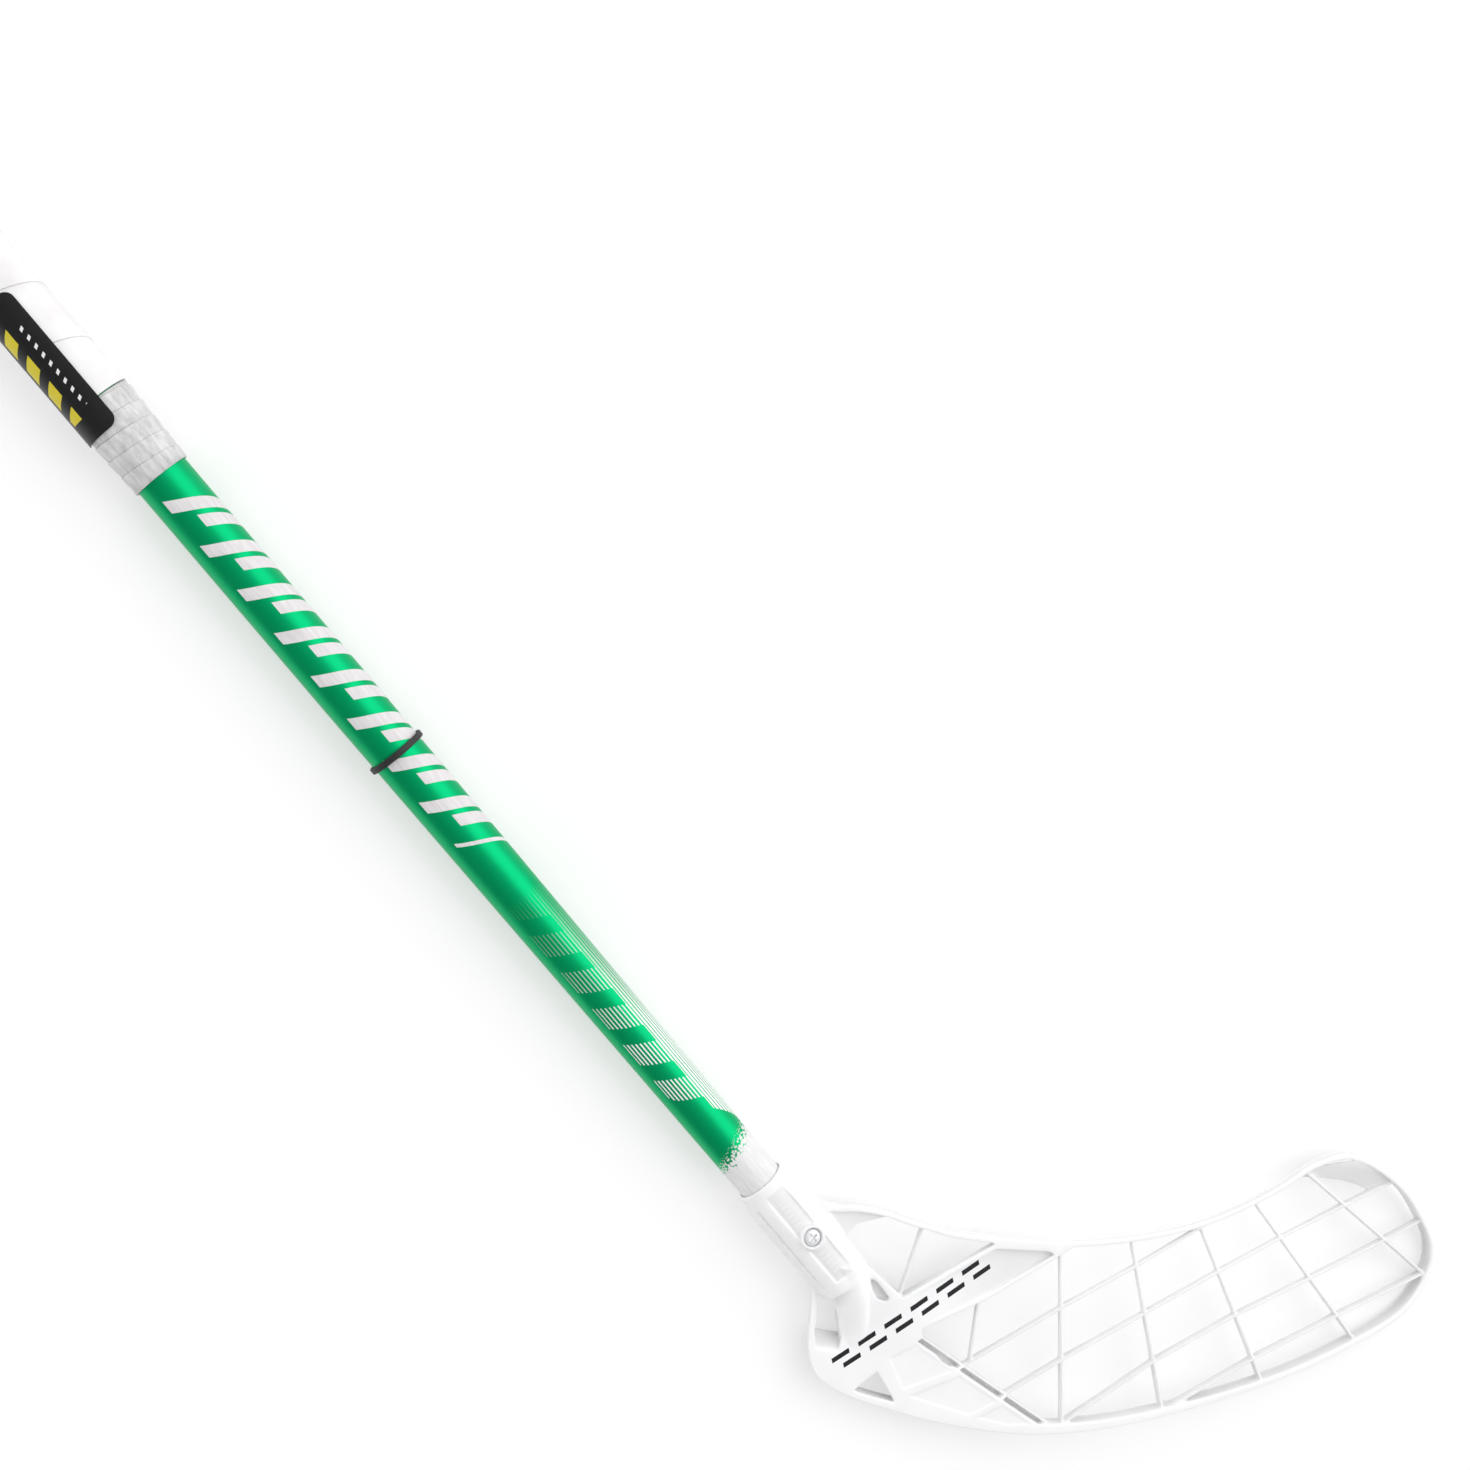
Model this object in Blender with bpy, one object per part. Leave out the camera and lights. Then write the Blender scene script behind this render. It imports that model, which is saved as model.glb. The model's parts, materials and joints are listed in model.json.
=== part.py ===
"""Floorball stick: a tapered composite shaft, a wound grip and an open ribbed plastic blade.

Every piece is modelled in the stick's own frame. X runs down the shaft from the grip to the
blade, Y lies in the plane of the blade and Z points out of the blade's rounded side. The
origin is on the shaft's axis, at the mouth of the blade's hosel. The last step lays the
finished stick on the floor, rounded side up, as it rests by itself.
"""

import math

import bmesh
import bpy
from mathutils import Matrix, Vector

# Fits between pieces
FIT = 0.0003                    # gap between two pieces that touch
WRAP_FIT = 0.0004               # gap under a wound tape, whose turns have flat stretches
TURN_GAP = 0.0005               # gap between the turns of a wound tape

# Shaft, a hollow tube that is straight at the grip and tapers towards the blade
SHAFT_DIAMETER = 0.0220
SHAFT_TIP_DIAMETER = 0.0190     # at the hosel's mouth and inside the hosel
SHAFT_WALL = 0.0012
SHAFT_BELOW_GRIP = 0.368        # from the finishing tape to the hosel's mouth
SHAFT_STRAIGHT = 0.110          # straight part of that stretch, before the taper

# Grip band, wound in one layer
GRIP_LENGTH = 0.390
GRIP_BAND_WIDTH = 0.0250
GRIP_BAND_THICKNESS = 0.0015
GRIP_BAND_RISE = 0.0004         # extra thickness along one edge of the band
BLUNT_END = 0.10                # of a turn, taken off the pointed ends of a wound band

# Finishing tape, wound over the thinned end of the grip
TAPE_LENGTH = 0.036
TAPE_WIDTH = 0.0066
TAPE_THICKNESS = 0.0006         # at the bare shaft; it grows to the grip's thickness
TAPE_RISE = 0.0003

# Label on the grip's lower end
LABEL_LENGTH = 0.062
LABEL_ABOVE_GRIP_END = 0.0245
LABEL_FROM = -12.0              # degrees round the shaft, from the top towards -Y
LABEL_TO = 105.0
LABEL_THICKNESS = 0.0003
LABEL_CORNER = 0.004

# End cap in the top of the tube
CAP_LIP = 0.0007                # how far the flange stands out past the grip band
CAP_FLANGE = 0.0045
CAP_EDGE_RADIUS = 0.0016
CAP_PLUG_LENGTH = 0.026
CAP_PLUG_WALL = 0.0018

# Rubber ring on the shaft
RING_FROM_GRIP = 0.138
RING_WIDTH = 0.0026
RING_THICKNESS = 0.0012
RING_EDGE = 0.0004

# Hosel, the blade's socket for the shaft
HOSEL_LENGTH = 0.057
HOSEL_FLOOR = 0.003             # solid end of the hosel under the shaft
HOSEL_WALL = 0.0026
HOSEL_MOUTH_WALL = 0.0009
HOSEL_END_WALL = 0.0021
HOSEL_FLARE = 0.013             # length over which the mouth widens to the full diameter
HOSEL_LIP = 0.0004              # chamfer round the mouth
FRONT_TURN = 13.0               # degrees that the screw's side is turned up the blade
PANEL_WIDTH = 0.0095
PANEL_DEPTH = 0.0006
PANEL_MARGIN = 0.004            # from the mouth to the sunk panel
GROOVE_ANGLE = 54.0             # degrees round the hosel from the screw, on both sides
GROOVE_WIDTH = 0.0009
GROOVE_DEPTH = 0.0006
GROOVE_MARGIN = 0.0075          # from the mouth to the grooves
PANEL_END = 0.0515              # where the panel and the grooves end
BOSS_FROM_MOUTH = 0.0292
BOSS_WALL = 0.0013
BOSS_HEIGHT = 0.0008            # above the crown of the hosel
SEAT_DEPTH = 0.0012             # from the crown of the hosel down to the screw's seat
SEAT_CLEARANCE = 0.0004         # round the screw's head

# Neck from the hosel down into the foot, each section as (u, v, half width, share of the
# way that its thickness has gone from the hosel's to the foot's)
NECK_SECTIONS = [
    (0.0140, 0.0790, 0.0075, -0.02), (0.0163, 0.0720, 0.0070, 0.02),
    (0.0171, 0.0660, 0.0070, 0.16), (0.0174, 0.0600, 0.0071, 0.40),
    (0.0180, 0.0540, 0.0070, 0.66), (0.0187, 0.0480, 0.0068, 0.86),
    (0.0194, 0.0420, 0.0064, 0.99), (0.0200, 0.0370, 0.0058, 1.06),
]
NECK_ROUNDNESS = 0.8            # 1 makes the neck's section an ellipse, less a rounded box

# Screw that holds the blade to the shaft
SCREW_HEAD_DIAMETER = 0.0070
SCREW_HEAD_HEIGHT = 0.0017
SCREW_THREAD_DIAMETER = 0.0040
SCREW_CORE_DIAMETER = 0.0028
SCREW_PITCH = 0.0014
SCREW_LENGTH = 0.0090
SCREW_SLOT_WIDTH = 0.0011
SCREW_SLOT_SPAN = 0.0042
SCREW_SLOT_DEPTH = 0.0010

# Blade plane: u runs along the blade to its tip, v up from the sole
LIE_ANGLE = 50.0                # degrees between the shaft's axis and u
HOSEL_FOOT = (0.0141, 0.0695)   # where the shaft's axis leaves the hosel
BLADE_DEPTH = 0.0075            # rim and foot
RIB_DEPTH = 0.0040              # ribs, in the middle of the blade's depth
RIB_WIDTH = 0.0015
NECK_WEB_DEPTH = 0.0048         # web in the corner between the hosel and the top edge
TIP_WEB_DEPTH = 0.0014          # web in the tip's top corner, which slopes up to the rim
TIP_WEB_SLOPE = 0.46
TIP_WEB_LOW = -0.0030           # middle of that web's lower edge
BURIED = 0.0006                 # how far the ribs' ends and the webs run into the rim and foot
HOOK_DEPTH = 0.025              # how far the tip bends away from the rounded side
HOOK_START = 0.040
HOOK_END = 0.285
TOP_THINNING = 0.40             # share of its depth that the blade loses by its top edge
WALL_DRAFT = 0.0002             # each wall leans out by this much at half the depth
SMALLEST_OPENING = 0.000016     # square metres; a smaller gap between ribs is filled
CLOSEST_POINTS = 0.0006         # points of an opening that are nearer than this become one

# The blade's outline, from the heel along the sole to the tip and back along the top,
# as (u, v, width of the rim there)
OUTLINE = [
    (-0.0007, 0.0710, 0.0022), (-0.0007, 0.0440, 0.0022), (0.0008, 0.0342, 0.0024),
    (0.0050, 0.0274, 0.0026), (0.0165, 0.0202, 0.0030), (0.0340, 0.0137, 0.0036),
    (0.0600, 0.0061, 0.0042), (0.0950, 0.0004, 0.0044), (0.1300, 0.0014, 0.0038),
    (0.1701, 0.0083, 0.0030), (0.2082, 0.0177, 0.0026), (0.2422, 0.0301, 0.0025),
    (0.2650, 0.0421, 0.0025), (0.2769, 0.0589, 0.0023), (0.2785, 0.0705, 0.0023),
    (0.2743, 0.0816, 0.0022), (0.2612, 0.1001, 0.0022), (0.2387, 0.1150, 0.0022),
    (0.2198, 0.1132, 0.0019), (0.1983, 0.1012, 0.0016), (0.1676, 0.0895, 0.0016),
    (0.1318, 0.0843, 0.0018), (0.0981, 0.0845, 0.0022), (0.0624, 0.0891, 0.0022),
    (0.0500, 0.0924, 0.0018), (0.0384, 0.0963, 0.0018), (0.0289, 0.1000, 0.0020),
    (0.0171, 0.1024, 0.0024), (0.0092, 0.1024, 0.0024), (0.0033, 0.1045, 0.0024),
    (-0.0016, 0.1090, 0.0024), (-0.0070, 0.1130, 0.0024), (-0.0140, 0.1120, 0.0024),
]
OUTLINE_STEPS = 3

# Ribs across the blade, each from the top edge to the sole
CROSS_RIBS = [
    ((0.1053, 0.0880), (0.1095, 0.0000)),
    ((0.1355, 0.0885), (0.1545, 0.0040)),
    ((0.1648, 0.0935), (0.2006, 0.0130)),
    ((0.1881, 0.1016), (0.2442, 0.0290)),
    ((0.2113, 0.1119), (0.2775, 0.0561)),
]
# Long ribs: the first cross rib that each meets, and its points at that rib and the next ones
LONG_RIBS = [
    (0, [(0.1070, 0.0550), (0.1390, 0.0715), (0.1715, 0.0894)]),
    (0, [(0.1080, 0.0320), (0.1430, 0.0500), (0.1755, 0.0665), (0.2040, 0.0800),
         (0.2330, 0.0925), (0.2603, 0.1034)]),
    (0, [(0.1100, 0.0040), (0.1490, 0.0290), (0.1840, 0.0465), (0.2180, 0.0605),
         (0.2540, 0.0755), (0.2775, 0.0857)]),
    (1, [(0.1530, 0.0060), (0.1950, 0.0270), (0.2330, 0.0430), (0.2765, 0.0596)]),
]
# Ribs near the foot, each as a line from one end to the other
NECK_RIB = ((0.0467, 0.0944), (0.0375, 0.0630))
SHORT_RIB = ((0.0711, 0.0600), (0.0683, 0.0330))
UPPER_LONG_RIB = ((0.0620, 0.0293), (0.1070, 0.0550))
LOWER_LONG_RIB = ((0.0815, 0.0165), (0.1080, 0.0320))
# Edges of the solid foot, each as a line with the opening on its left
BAND_TOP = ((0.0300, 0.0575), (0.0800, 0.0858))
BAND_FOOT_HEEL = ((0.0467, 0.0482), (0.0166, 0.0226))
BAND_FOOT_MIDDLE = ((0.0761, 0.0613), (0.0467, 0.0482))
BAND_FOOT_TIP = ((0.1065, 0.0790), (0.0761, 0.0613))
NECK_RIGHT = ((0.0150, 0.0860), (0.0305, 0.0604))
NECK_CORNER = ((0.0249, 0.0750), (0.0370, 0.0635))
PLATE_EDGE = ((0.0483, 0.0406), (0.1017, 0.0022))
PLATE_HEEL = ((0.0394, 0.0119), (0.0304, 0.0275))
SLOT_WIDTH = 0.0015             # narrow slot between the plate's edge and the rib beside it
HEEL_CELL = [(0.0022, 0.0475), (0.0130, 0.0455), (0.0138, 0.0505), (0.0075, 0.0640)]
# Webs, and the sunk pocket in the band as (u, v, depth)
TIP_WEB = [(0.2140, 0.1060), (0.2200, 0.1055), (0.2330, 0.1035), (0.2400, 0.1010),
           (0.2475, 0.0975), (0.2575, 0.1010), (0.2387, 0.1132), (0.2200, 0.1108)]
NECK_WEB = [(0.0030, 0.0980), (0.0090, 0.0880), (0.0147, 0.0906), (0.0187, 0.0947),
            (0.0248, 0.0959), (0.0320, 0.0975), (0.0170, 0.1010), (0.0050, 0.1040)]
POCKET = [(0.0480, 0.0505, 0.0001), (0.0755, 0.0628, 0.0018), (0.1030, 0.0787, 0.0044),
          (0.1000, 0.0803, 0.0044), (0.0775, 0.0822, 0.0026), (0.0430, 0.0628, 0.0001)]

# Facets
ROUND = 48                      # sides of the shaft and what surrounds it
TURN_STEPS = 24                 # steps in one turn of a wound tape
HOSEL_SIDES = 32
SHARP_ANGLE = math.radians(35.0)    # edges sharper than this aren't shaded smooth

# Colours, roughness and density of each finish
FINISHES = {
    "green_lacquer": ((0.010, 0.330, 0.130), 0.28, 1550.0),
    "white_plastic": ((0.860, 0.860, 0.880), 0.38, 950.0),
    "white_grip": ((0.780, 0.770, 0.770), 0.62, 520.0),
    "white_tape": ((0.840, 0.840, 0.840), 0.50, 1100.0),
    "black_label": ((0.012, 0.012, 0.014), 0.35, 1250.0),
    "black_rubber": ((0.015, 0.015, 0.016), 0.55, 1150.0),
    "black_plastic": ((0.020, 0.020, 0.022), 0.45, 1000.0),
    "zinc_steel": ((0.620, 0.630, 0.640), 0.30, 7850.0),
}

# Sizes and places that follow from the ones above
TAPE_LOW = -SHAFT_BELOW_GRIP
TAPE_HIGH = TAPE_LOW - TAPE_LENGTH
GRIP_LOW = TAPE_HIGH - TURN_GAP
GRIP_HIGH = GRIP_LOW - GRIP_LENGTH
RING_PLACE = TAPE_LOW + RING_FROM_GRIP
GRIP_RADIUS = SHAFT_DIAMETER / 2 + WRAP_FIT + GRIP_BAND_THICKNESS
SHAFT_END = HOSEL_LENGTH - HOSEL_FLOOR - FIT
BORE_RADIUS = SHAFT_TIP_DIAMETER / 2 + FIT
HOSEL_RADIUS = BORE_RADIUS + HOSEL_WALL
HOSEL_MOUTH_RADIUS = BORE_RADIUS + HOSEL_MOUTH_WALL
HOSEL_END_RADIUS = BORE_RADIUS + HOSEL_END_WALL
SEAT_RADIUS = SCREW_HEAD_DIAMETER / 2 + SEAT_CLEARANCE


def shaft_radius(x):
    """Outer radius of the shaft at a place along its axis."""
    taper = (x - TAPE_LOW - SHAFT_STRAIGHT) / (SHAFT_BELOW_GRIP - SHAFT_STRAIGHT)
    share = min(max(taper, 0.0), 1.0)
    return (SHAFT_DIAMETER + share * (SHAFT_TIP_DIAMETER - SHAFT_DIAMETER)) / 2


def clear_scene():
    for old in list(bpy.data.objects):
        bpy.data.objects.remove(old)


def finish(name):
    """Principled material for one of the finishes."""
    colour, roughness, _ = FINISHES[name]
    material = bpy.data.materials.new(name)
    material.use_nodes = True
    shader = material.node_tree.nodes["Principled BSDF"]
    shader.inputs["Base Color"].default_value = (*colour, 1.0)
    shader.inputs["Roughness"].default_value = roughness
    shader.inputs["Metallic"].default_value = 1.0 if name == "zinc_steel" else 0.0
    material.diffuse_color = (*colour, 1.0)
    return material


def add_object(name, mesh_builder, material=None, place=(0.0, 0.0, 0.0)):
    """Object from a bmesh, shaded smooth with its sharp edges kept."""
    mesh = bpy.data.meshes.new(name)
    bmesh.ops.recalc_face_normals(mesh_builder, faces=mesh_builder.faces)
    mesh_builder.to_mesh(mesh)
    mesh_builder.free()
    mesh.shade_smooth()
    mesh.set_sharp_from_angle(angle=SHARP_ANGLE)
    thing = bpy.data.objects.new(name, mesh)
    thing.location = place
    if material:
        mesh.materials.append(material)
    bpy.context.scene.collection.objects.link(thing)
    return thing


def combine(target, tool, operation):
    """Apply a Boolean of one object on another, and remove the tool."""
    modifier = target.modifiers.new(operation.lower(), "BOOLEAN")
    modifier.operation = operation
    modifier.object = tool
    modifier.solver = "EXACT"
    bpy.context.view_layer.update()
    evaluated = target.evaluated_get(bpy.context.evaluated_depsgraph_get())
    result = bpy.data.meshes.new_from_object(evaluated)
    target.modifiers.clear()
    target.data = result
    bpy.data.objects.remove(tool)
    result.shade_smooth()
    result.set_sharp_from_angle(angle=SHARP_ANGLE)


def loft(rows, closed=False):
    """Skin through rows of points, each a closed ring; open ends are capped."""
    builder = bmesh.new()
    rings = [[builder.verts.new(point) for point in row] for row in rows]
    pairs = list(zip(rings, rings[1:]))
    if closed:
        pairs.append((rings[-1], rings[0]))
    for ring, following in pairs:
        count = len(ring)
        for index in range(count):
            after = (index + 1) % count
            builder.faces.new((ring[index], ring[after], following[after], following[index]))
    if not closed:
        builder.faces.new(rings[0])
        builder.faces.new(rings[-1])
    return builder


def turned(profile, sides=ROUND, closed=False):
    """Round body about X from a profile of (x, radius); a closed profile makes a ring."""
    builder = bmesh.new()
    corners = [builder.verts.new((x, 0.0, radius)) for x, radius in profile]
    for start, end in zip(corners, corners[1:]):
        builder.edges.new((start, end))
    if closed:
        builder.edges.new((corners[-1], corners[0]))
    bmesh.ops.spin(builder, geom=builder.verts[:] + builder.edges[:], cent=(0.0, 0.0, 0.0),
                   axis=(1.0, 0.0, 0.0), angle=math.tau, steps=sides, use_merge=True)
    bmesh.ops.remove_doubles(builder, verts=builder.verts, dist=0.000001)
    return builder


def arc_points(centre_x, centre_radius, radius, start, end, steps):
    """Points of a round corner in a turned profile."""
    points = []
    for step in range(steps + 1):
        angle = math.radians(start + (end - start) * step / steps)
        points.append((centre_x + radius * math.cos(angle),
                       centre_radius + radius * math.sin(angle)))
    return points


def shaft_tube():
    """Hollow tube, open at both ends, with the hole for the blade's screw."""
    taper_start = TAPE_LOW + SHAFT_STRAIGHT
    outer = [GRIP_HIGH, taper_start, 0.0, SHAFT_END]
    profile = [(x, shaft_radius(x)) for x in outer]
    profile += [(x, shaft_radius(x) - SHAFT_WALL) for x in reversed(outer)]
    tube = add_object("shaft_tube", turned(profile, closed=True), finish("green_lacquer"))
    combine(tube, screw_hole(), "DIFFERENCE")
    return tube


def wound_band(name, start, end, width, thickness_at, rise, finish_name):
    """One unbroken band wound round the shaft between two planes square to it.

    The band runs towards the grip's end. Its first and last turns are trimmed along those
    planes, so they narrow to a blunt end.
    """
    pitch = width + TURN_GAP
    length = start - end
    first = math.ceil(BLUNT_END * TURN_STEPS)
    last = math.floor(((length + TURN_GAP) / pitch + 1.0 - BLUNT_END) * TURN_STEPS)
    rows = []
    for step in range(first, last + 1):
        turn = step / TURN_STEPS
        near = max(0.0, (turn - 1.0) * pitch)
        far = min(length, turn * pitch - TURN_GAP)
        angle = math.tau * turn
        around = Vector((0.0, math.cos(angle), math.sin(angle)))
        row = []
        for along, lift in ((near, 0.0), (far, 0.0), (far, 1.0), (near, 1.0)):
            x = start - along
            radius = shaft_radius(x) + WRAP_FIT
            if lift:
                radius += thickness_at(along / length)
                if along == near:
                    radius += rise
            row.append(Vector((x, 0.0, 0.0)) + around * radius)
        rows.append(row)
    report_turn_gap(name, rows)
    return add_object(name, loft(rows), finish(finish_name))


def report_turn_gap(name, rows):
    """Print the least distance between points of the band that lie one turn apart."""
    gaps = []
    for row, later in zip(rows, rows[TURN_STEPS:]):
        gaps.append(min((a - b).length for a in (row[1], row[2]) for b in (later[0], later[3])))
    print(f"{name}: least gap between turns {min(gaps) * 1000:.2f} mm")


def grip_wrap():
    """Grip band, of even thickness over its whole length."""
    return wound_band("grip_wrap", GRIP_LOW, GRIP_HIGH, GRIP_BAND_WIDTH,
                      lambda share: GRIP_BAND_THICKNESS, GRIP_BAND_RISE, "white_grip")


def finishing_tape():
    """Narrow tape over the thinned end of the grip, thicker towards the grip."""
    def thickness(share):
        return TAPE_THICKNESS + share * (GRIP_BAND_THICKNESS - TAPE_THICKNESS)
    return wound_band("finishing_tape", TAPE_LOW, TAPE_HIGH, TAPE_WIDTH, thickness,
                      TAPE_RISE, "white_tape")


def grip_label():
    """Thin label with round corners, bent round the grip."""
    radius = GRIP_RADIUS + GRIP_BAND_RISE + FIT
    low = TAPE_LOW - LABEL_ABOVE_GRIP_END
    high = low - LABEL_LENGTH
    span = math.radians(LABEL_TO - LABEL_FROM) * radius
    columns = 26
    rows = []
    for column in range(columns + 1):
        along = span * (1.0 - math.cos(math.pi * column / columns)) / 2
        edge = min(along, span - along, LABEL_CORNER)
        inset = LABEL_CORNER - math.sqrt(LABEL_CORNER ** 2 - (LABEL_CORNER - edge) ** 2)
        angle = math.radians(LABEL_FROM) + along / radius
        around = Vector((0.0, -math.sin(angle), math.cos(angle)))
        row = []
        for x, height in ((low - inset, 0.0), (high + inset, 0.0),
                          (high + inset, LABEL_THICKNESS), (low - inset, LABEL_THICKNESS)):
            row.append(Vector((x, 0.0, 0.0)) + around * (radius + height))
        rows.append(row)
    return add_object("grip_label", loft(rows), finish("black_label"))


def end_cap():
    """Butt cap: a flat-ended flange with a round edge, and a hollow plug in the tube."""
    flange_radius = GRIP_RADIUS + CAP_LIP
    plug_radius = SHAFT_DIAMETER / 2 - SHAFT_WALL - FIT
    corner = flange_radius - CAP_EDGE_RADIUS
    profile = [(-CAP_FLANGE, 0.0)]
    profile += arc_points(-CAP_FLANGE + CAP_EDGE_RADIUS, corner, CAP_EDGE_RADIUS, 180, 90, 4)
    profile += [(0.0, flange_radius), (0.0, plug_radius)]
    profile += [(CAP_PLUG_LENGTH, plug_radius - FIT)]
    profile += [(CAP_PLUG_LENGTH, plug_radius - CAP_PLUG_WALL)]
    profile += [(CAP_PLUG_WALL, plug_radius - CAP_PLUG_WALL), (CAP_PLUG_WALL, 0.0)]
    return add_object("end_cap", turned(profile), finish("black_plastic"),
                      (GRIP_HIGH - FIT, 0.0, 0.0))


def rubber_ring():
    """Flat rubber band that can be pushed along the shaft."""
    inner = SHAFT_DIAMETER / 2 + FIT
    outer = inner + RING_THICKNESS
    half = RING_WIDTH / 2
    profile = [(-half, inner), (-half, outer - RING_EDGE), (-half + RING_EDGE, outer),
               (half - RING_EDGE, outer), (half, outer - RING_EDGE), (half, inner)]
    return add_object("rubber_ring", turned(profile, closed=True), finish("black_rubber"),
                      (RING_PLACE, 0.0, 0.0))


def to_stick(u, v, z=0.0):
    """Point of the blade's plane in the stick's frame."""
    lie = math.radians(LIE_ANGLE)
    across = u - HOSEL_FOOT[0]
    up = v - HOSEL_FOOT[1]
    return Vector((HOSEL_LENGTH + across * math.cos(lie) - up * math.sin(lie),
                   across * math.sin(lie) + up * math.cos(lie), z))


def smooth_loop(points, steps):
    """Closed curve through the points, with a number of steps between each two."""
    count = len(points)
    curve = []
    for index in range(count):
        before, start, end, after = (Vector(points[(index + k - 1) % count]) for k in range(4))
        for step in range(steps):
            t = step / steps
            curve.append(0.5 * ((2 * start) + (end - before) * t
                                + (2 * before - 5 * start + 4 * end - after) * t ** 2
                                + (3 * start - before - 3 * end + after) * t ** 3))
    return curve


def inset_loop(loop, distances):
    """Closed loop moved inwards, each point by its own distance; its inside is on the left."""
    count = len(loop)
    result = []
    for index, point in enumerate(loop):
        along = (loop[(index + 1) % count] - loop[index - 1]).normalized()
        result.append(point + Vector((-along.y, along.x)) * distances[index])
    return result


def clipped(polygon, start, end, keep_off=0.0):
    """The part of a polygon to the left of a line, keep_off away from it."""
    start = Vector(start)
    along = (Vector(end) - start).normalized()
    left = Vector((-along.y, along.x))
    heights = [(point - start).dot(left) - keep_off for point in polygon]
    result = []
    count = len(polygon)
    for index in range(count):
        after = (index + 1) % count
        if heights[index] >= 0.0:
            result.append(polygon[index])
        if heights[index] * heights[after] < 0.0:
            share = heights[index] / (heights[index] - heights[after])
            result.append(polygon[index].lerp(polygon[after], share))
    return result


def area(polygon):
    following = polygon[1:] + polygon[:1]
    return sum(a.x * b.y - b.x * a.y for a, b in zip(polygon, following)) / 2


def tidied(polygon):
    """Polygon without points that almost coincide."""
    result = []
    for point in polygon:
        if not result or (point - result[-1]).length > CLOSEST_POINTS:
            result.append(point)
    if len(result) > 1 and (result[0] - result[-1]).length <= CLOSEST_POINTS:
        result.pop()
    return result


def reverse(line):
    return (line[1], line[0])


def opening(inside, *sides):
    """Opening of the blade: the inside of the rim, cut by (line, distance) pairs."""
    polygon = inside
    for line, keep_off in sides:
        polygon = clipped(polygon, *line, keep_off)
    return tidied(polygon)


def sides_of(corners, keep_off):
    return [(side, keep_off) for side in zip(corners, corners[1:] + corners[:1])]


def neck_opening(inside, spare=0.0):
    """Opening between the hosel, the band and the top of the rim."""
    return opening(inside, (BAND_TOP, -spare), (NECK_RIGHT, -spare), (NECK_CORNER, -spare))


def heel_openings(inside, spare=0.0):
    """The two small openings at the heel, below the hosel and below the band."""
    return [
        opening(inside, (PLATE_HEEL, -spare), (BAND_FOOT_HEEL, RIB_WIDTH - spare)),
        opening(inside, *sides_of(HEEL_CELL, -spare)[:3]),
    ]


def frame_openings(inside):
    """Openings of the rim and the foot, before the ribs go across them."""
    tip_side = clipped(clipped(inside, *PLATE_EDGE), *BAND_FOOT_TIP)
    corner = tip_side.index(min(tip_side, key=lambda point: point.x))
    bend = [Vector(BAND_FOOT_MIDDLE[0]), Vector(BAND_FOOT_MIDDLE[1]), Vector(PLATE_EDGE[0])]
    tip_side[corner:corner + 1] = bend
    return [neck_opening(inside), tidied(tip_side)] + heel_openings(inside)


def foot_cells(inside):
    """Cells between the foot and the first cross rib."""
    half = RIB_WIDTH / 2
    first_cross = (reverse(CROSS_RIBS[0]), half)
    beside_slot = (PLATE_EDGE, SLOT_WIDTH + RIB_WIDTH)
    in_slot = ((PLATE_EDGE, -BURIED), (reverse(PLATE_EDGE), -SLOT_WIDTH))
    above_upper = (UPPER_LONG_RIB, half)
    below_upper = (reverse(UPPER_LONG_RIB), half)
    above_lower = (LOWER_LONG_RIB, half)
    below_lower = (reverse(LOWER_LONG_RIB), half)
    by_neck = neck_opening(inside, BURIED)
    return [
        opening(by_neck, (reverse(NECK_RIB), half)),
        opening(by_neck, (NECK_RIB, half)),
        opening(inside, (reverse(SHORT_RIB), half), beside_slot, (BAND_FOOT_MIDDLE, -BURIED),
                above_upper),
        opening(inside, (SHORT_RIB, half), first_cross, (BAND_FOOT_TIP, -BURIED), above_upper),
        opening(inside, first_cross, beside_slot, below_upper, above_lower),
        opening(inside, first_cross, beside_slot, below_lower),
        opening(inside, *in_slot, (BAND_FOOT_MIDDLE, -BURIED), above_upper),
        opening(inside, *in_slot, below_upper, above_lower),
        opening(inside, *in_slot, below_lower),
    ]


def rib_cells(inside):
    """Cells between the cross ribs and the long ribs, out to the tip."""
    half = RIB_WIDTH / 2
    found = []
    for index, rib in enumerate(CROSS_RIBS):
        strip = clipped(inside, *rib, half)
        if index + 1 < len(CROSS_RIBS):
            strip = clipped(strip, *reverse(CROSS_RIBS[index + 1]), half)
        lines = []
        for first, points in LONG_RIBS:
            place = index - first
            if 0 <= place < len(points) - 1:
                lines.append((points[place], points[place + 1]))
        for above, below in zip([None] + lines, lines + [None]):
            cell = strip
            if above:
                cell = clipped(cell, *reverse(above), half)
            if below:
                cell = clipped(cell, *below, half)
            found.append(tidied(cell))
    return [cell for cell in found if len(cell) > 2 and area(cell) > SMALLEST_OPENING]


def hook(u):
    """Drop of the blade's middle at u, and its slope there."""
    reach = HOOK_END - HOOK_START
    past = max(0.0, u - HOOK_START) / reach
    return HOOK_DEPTH * past ** 2, 2 * HOOK_DEPTH * past / reach


def between(value, start, end):
    """Share of the way from a start to an end, no less than 0 and no more than 1."""
    return min(max((value - start) / (end - start), 0.0), 1.0)


def depth_left(u, v):
    """Share of the blade's depth that is left at a point; it is thinner by its top edge."""
    near_top = between(u, 0.030, 0.060) * between(v, 0.025, 0.075) * between(u, 0.262, 0.212)
    return 1.0 - TOP_THINNING * near_top


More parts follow.
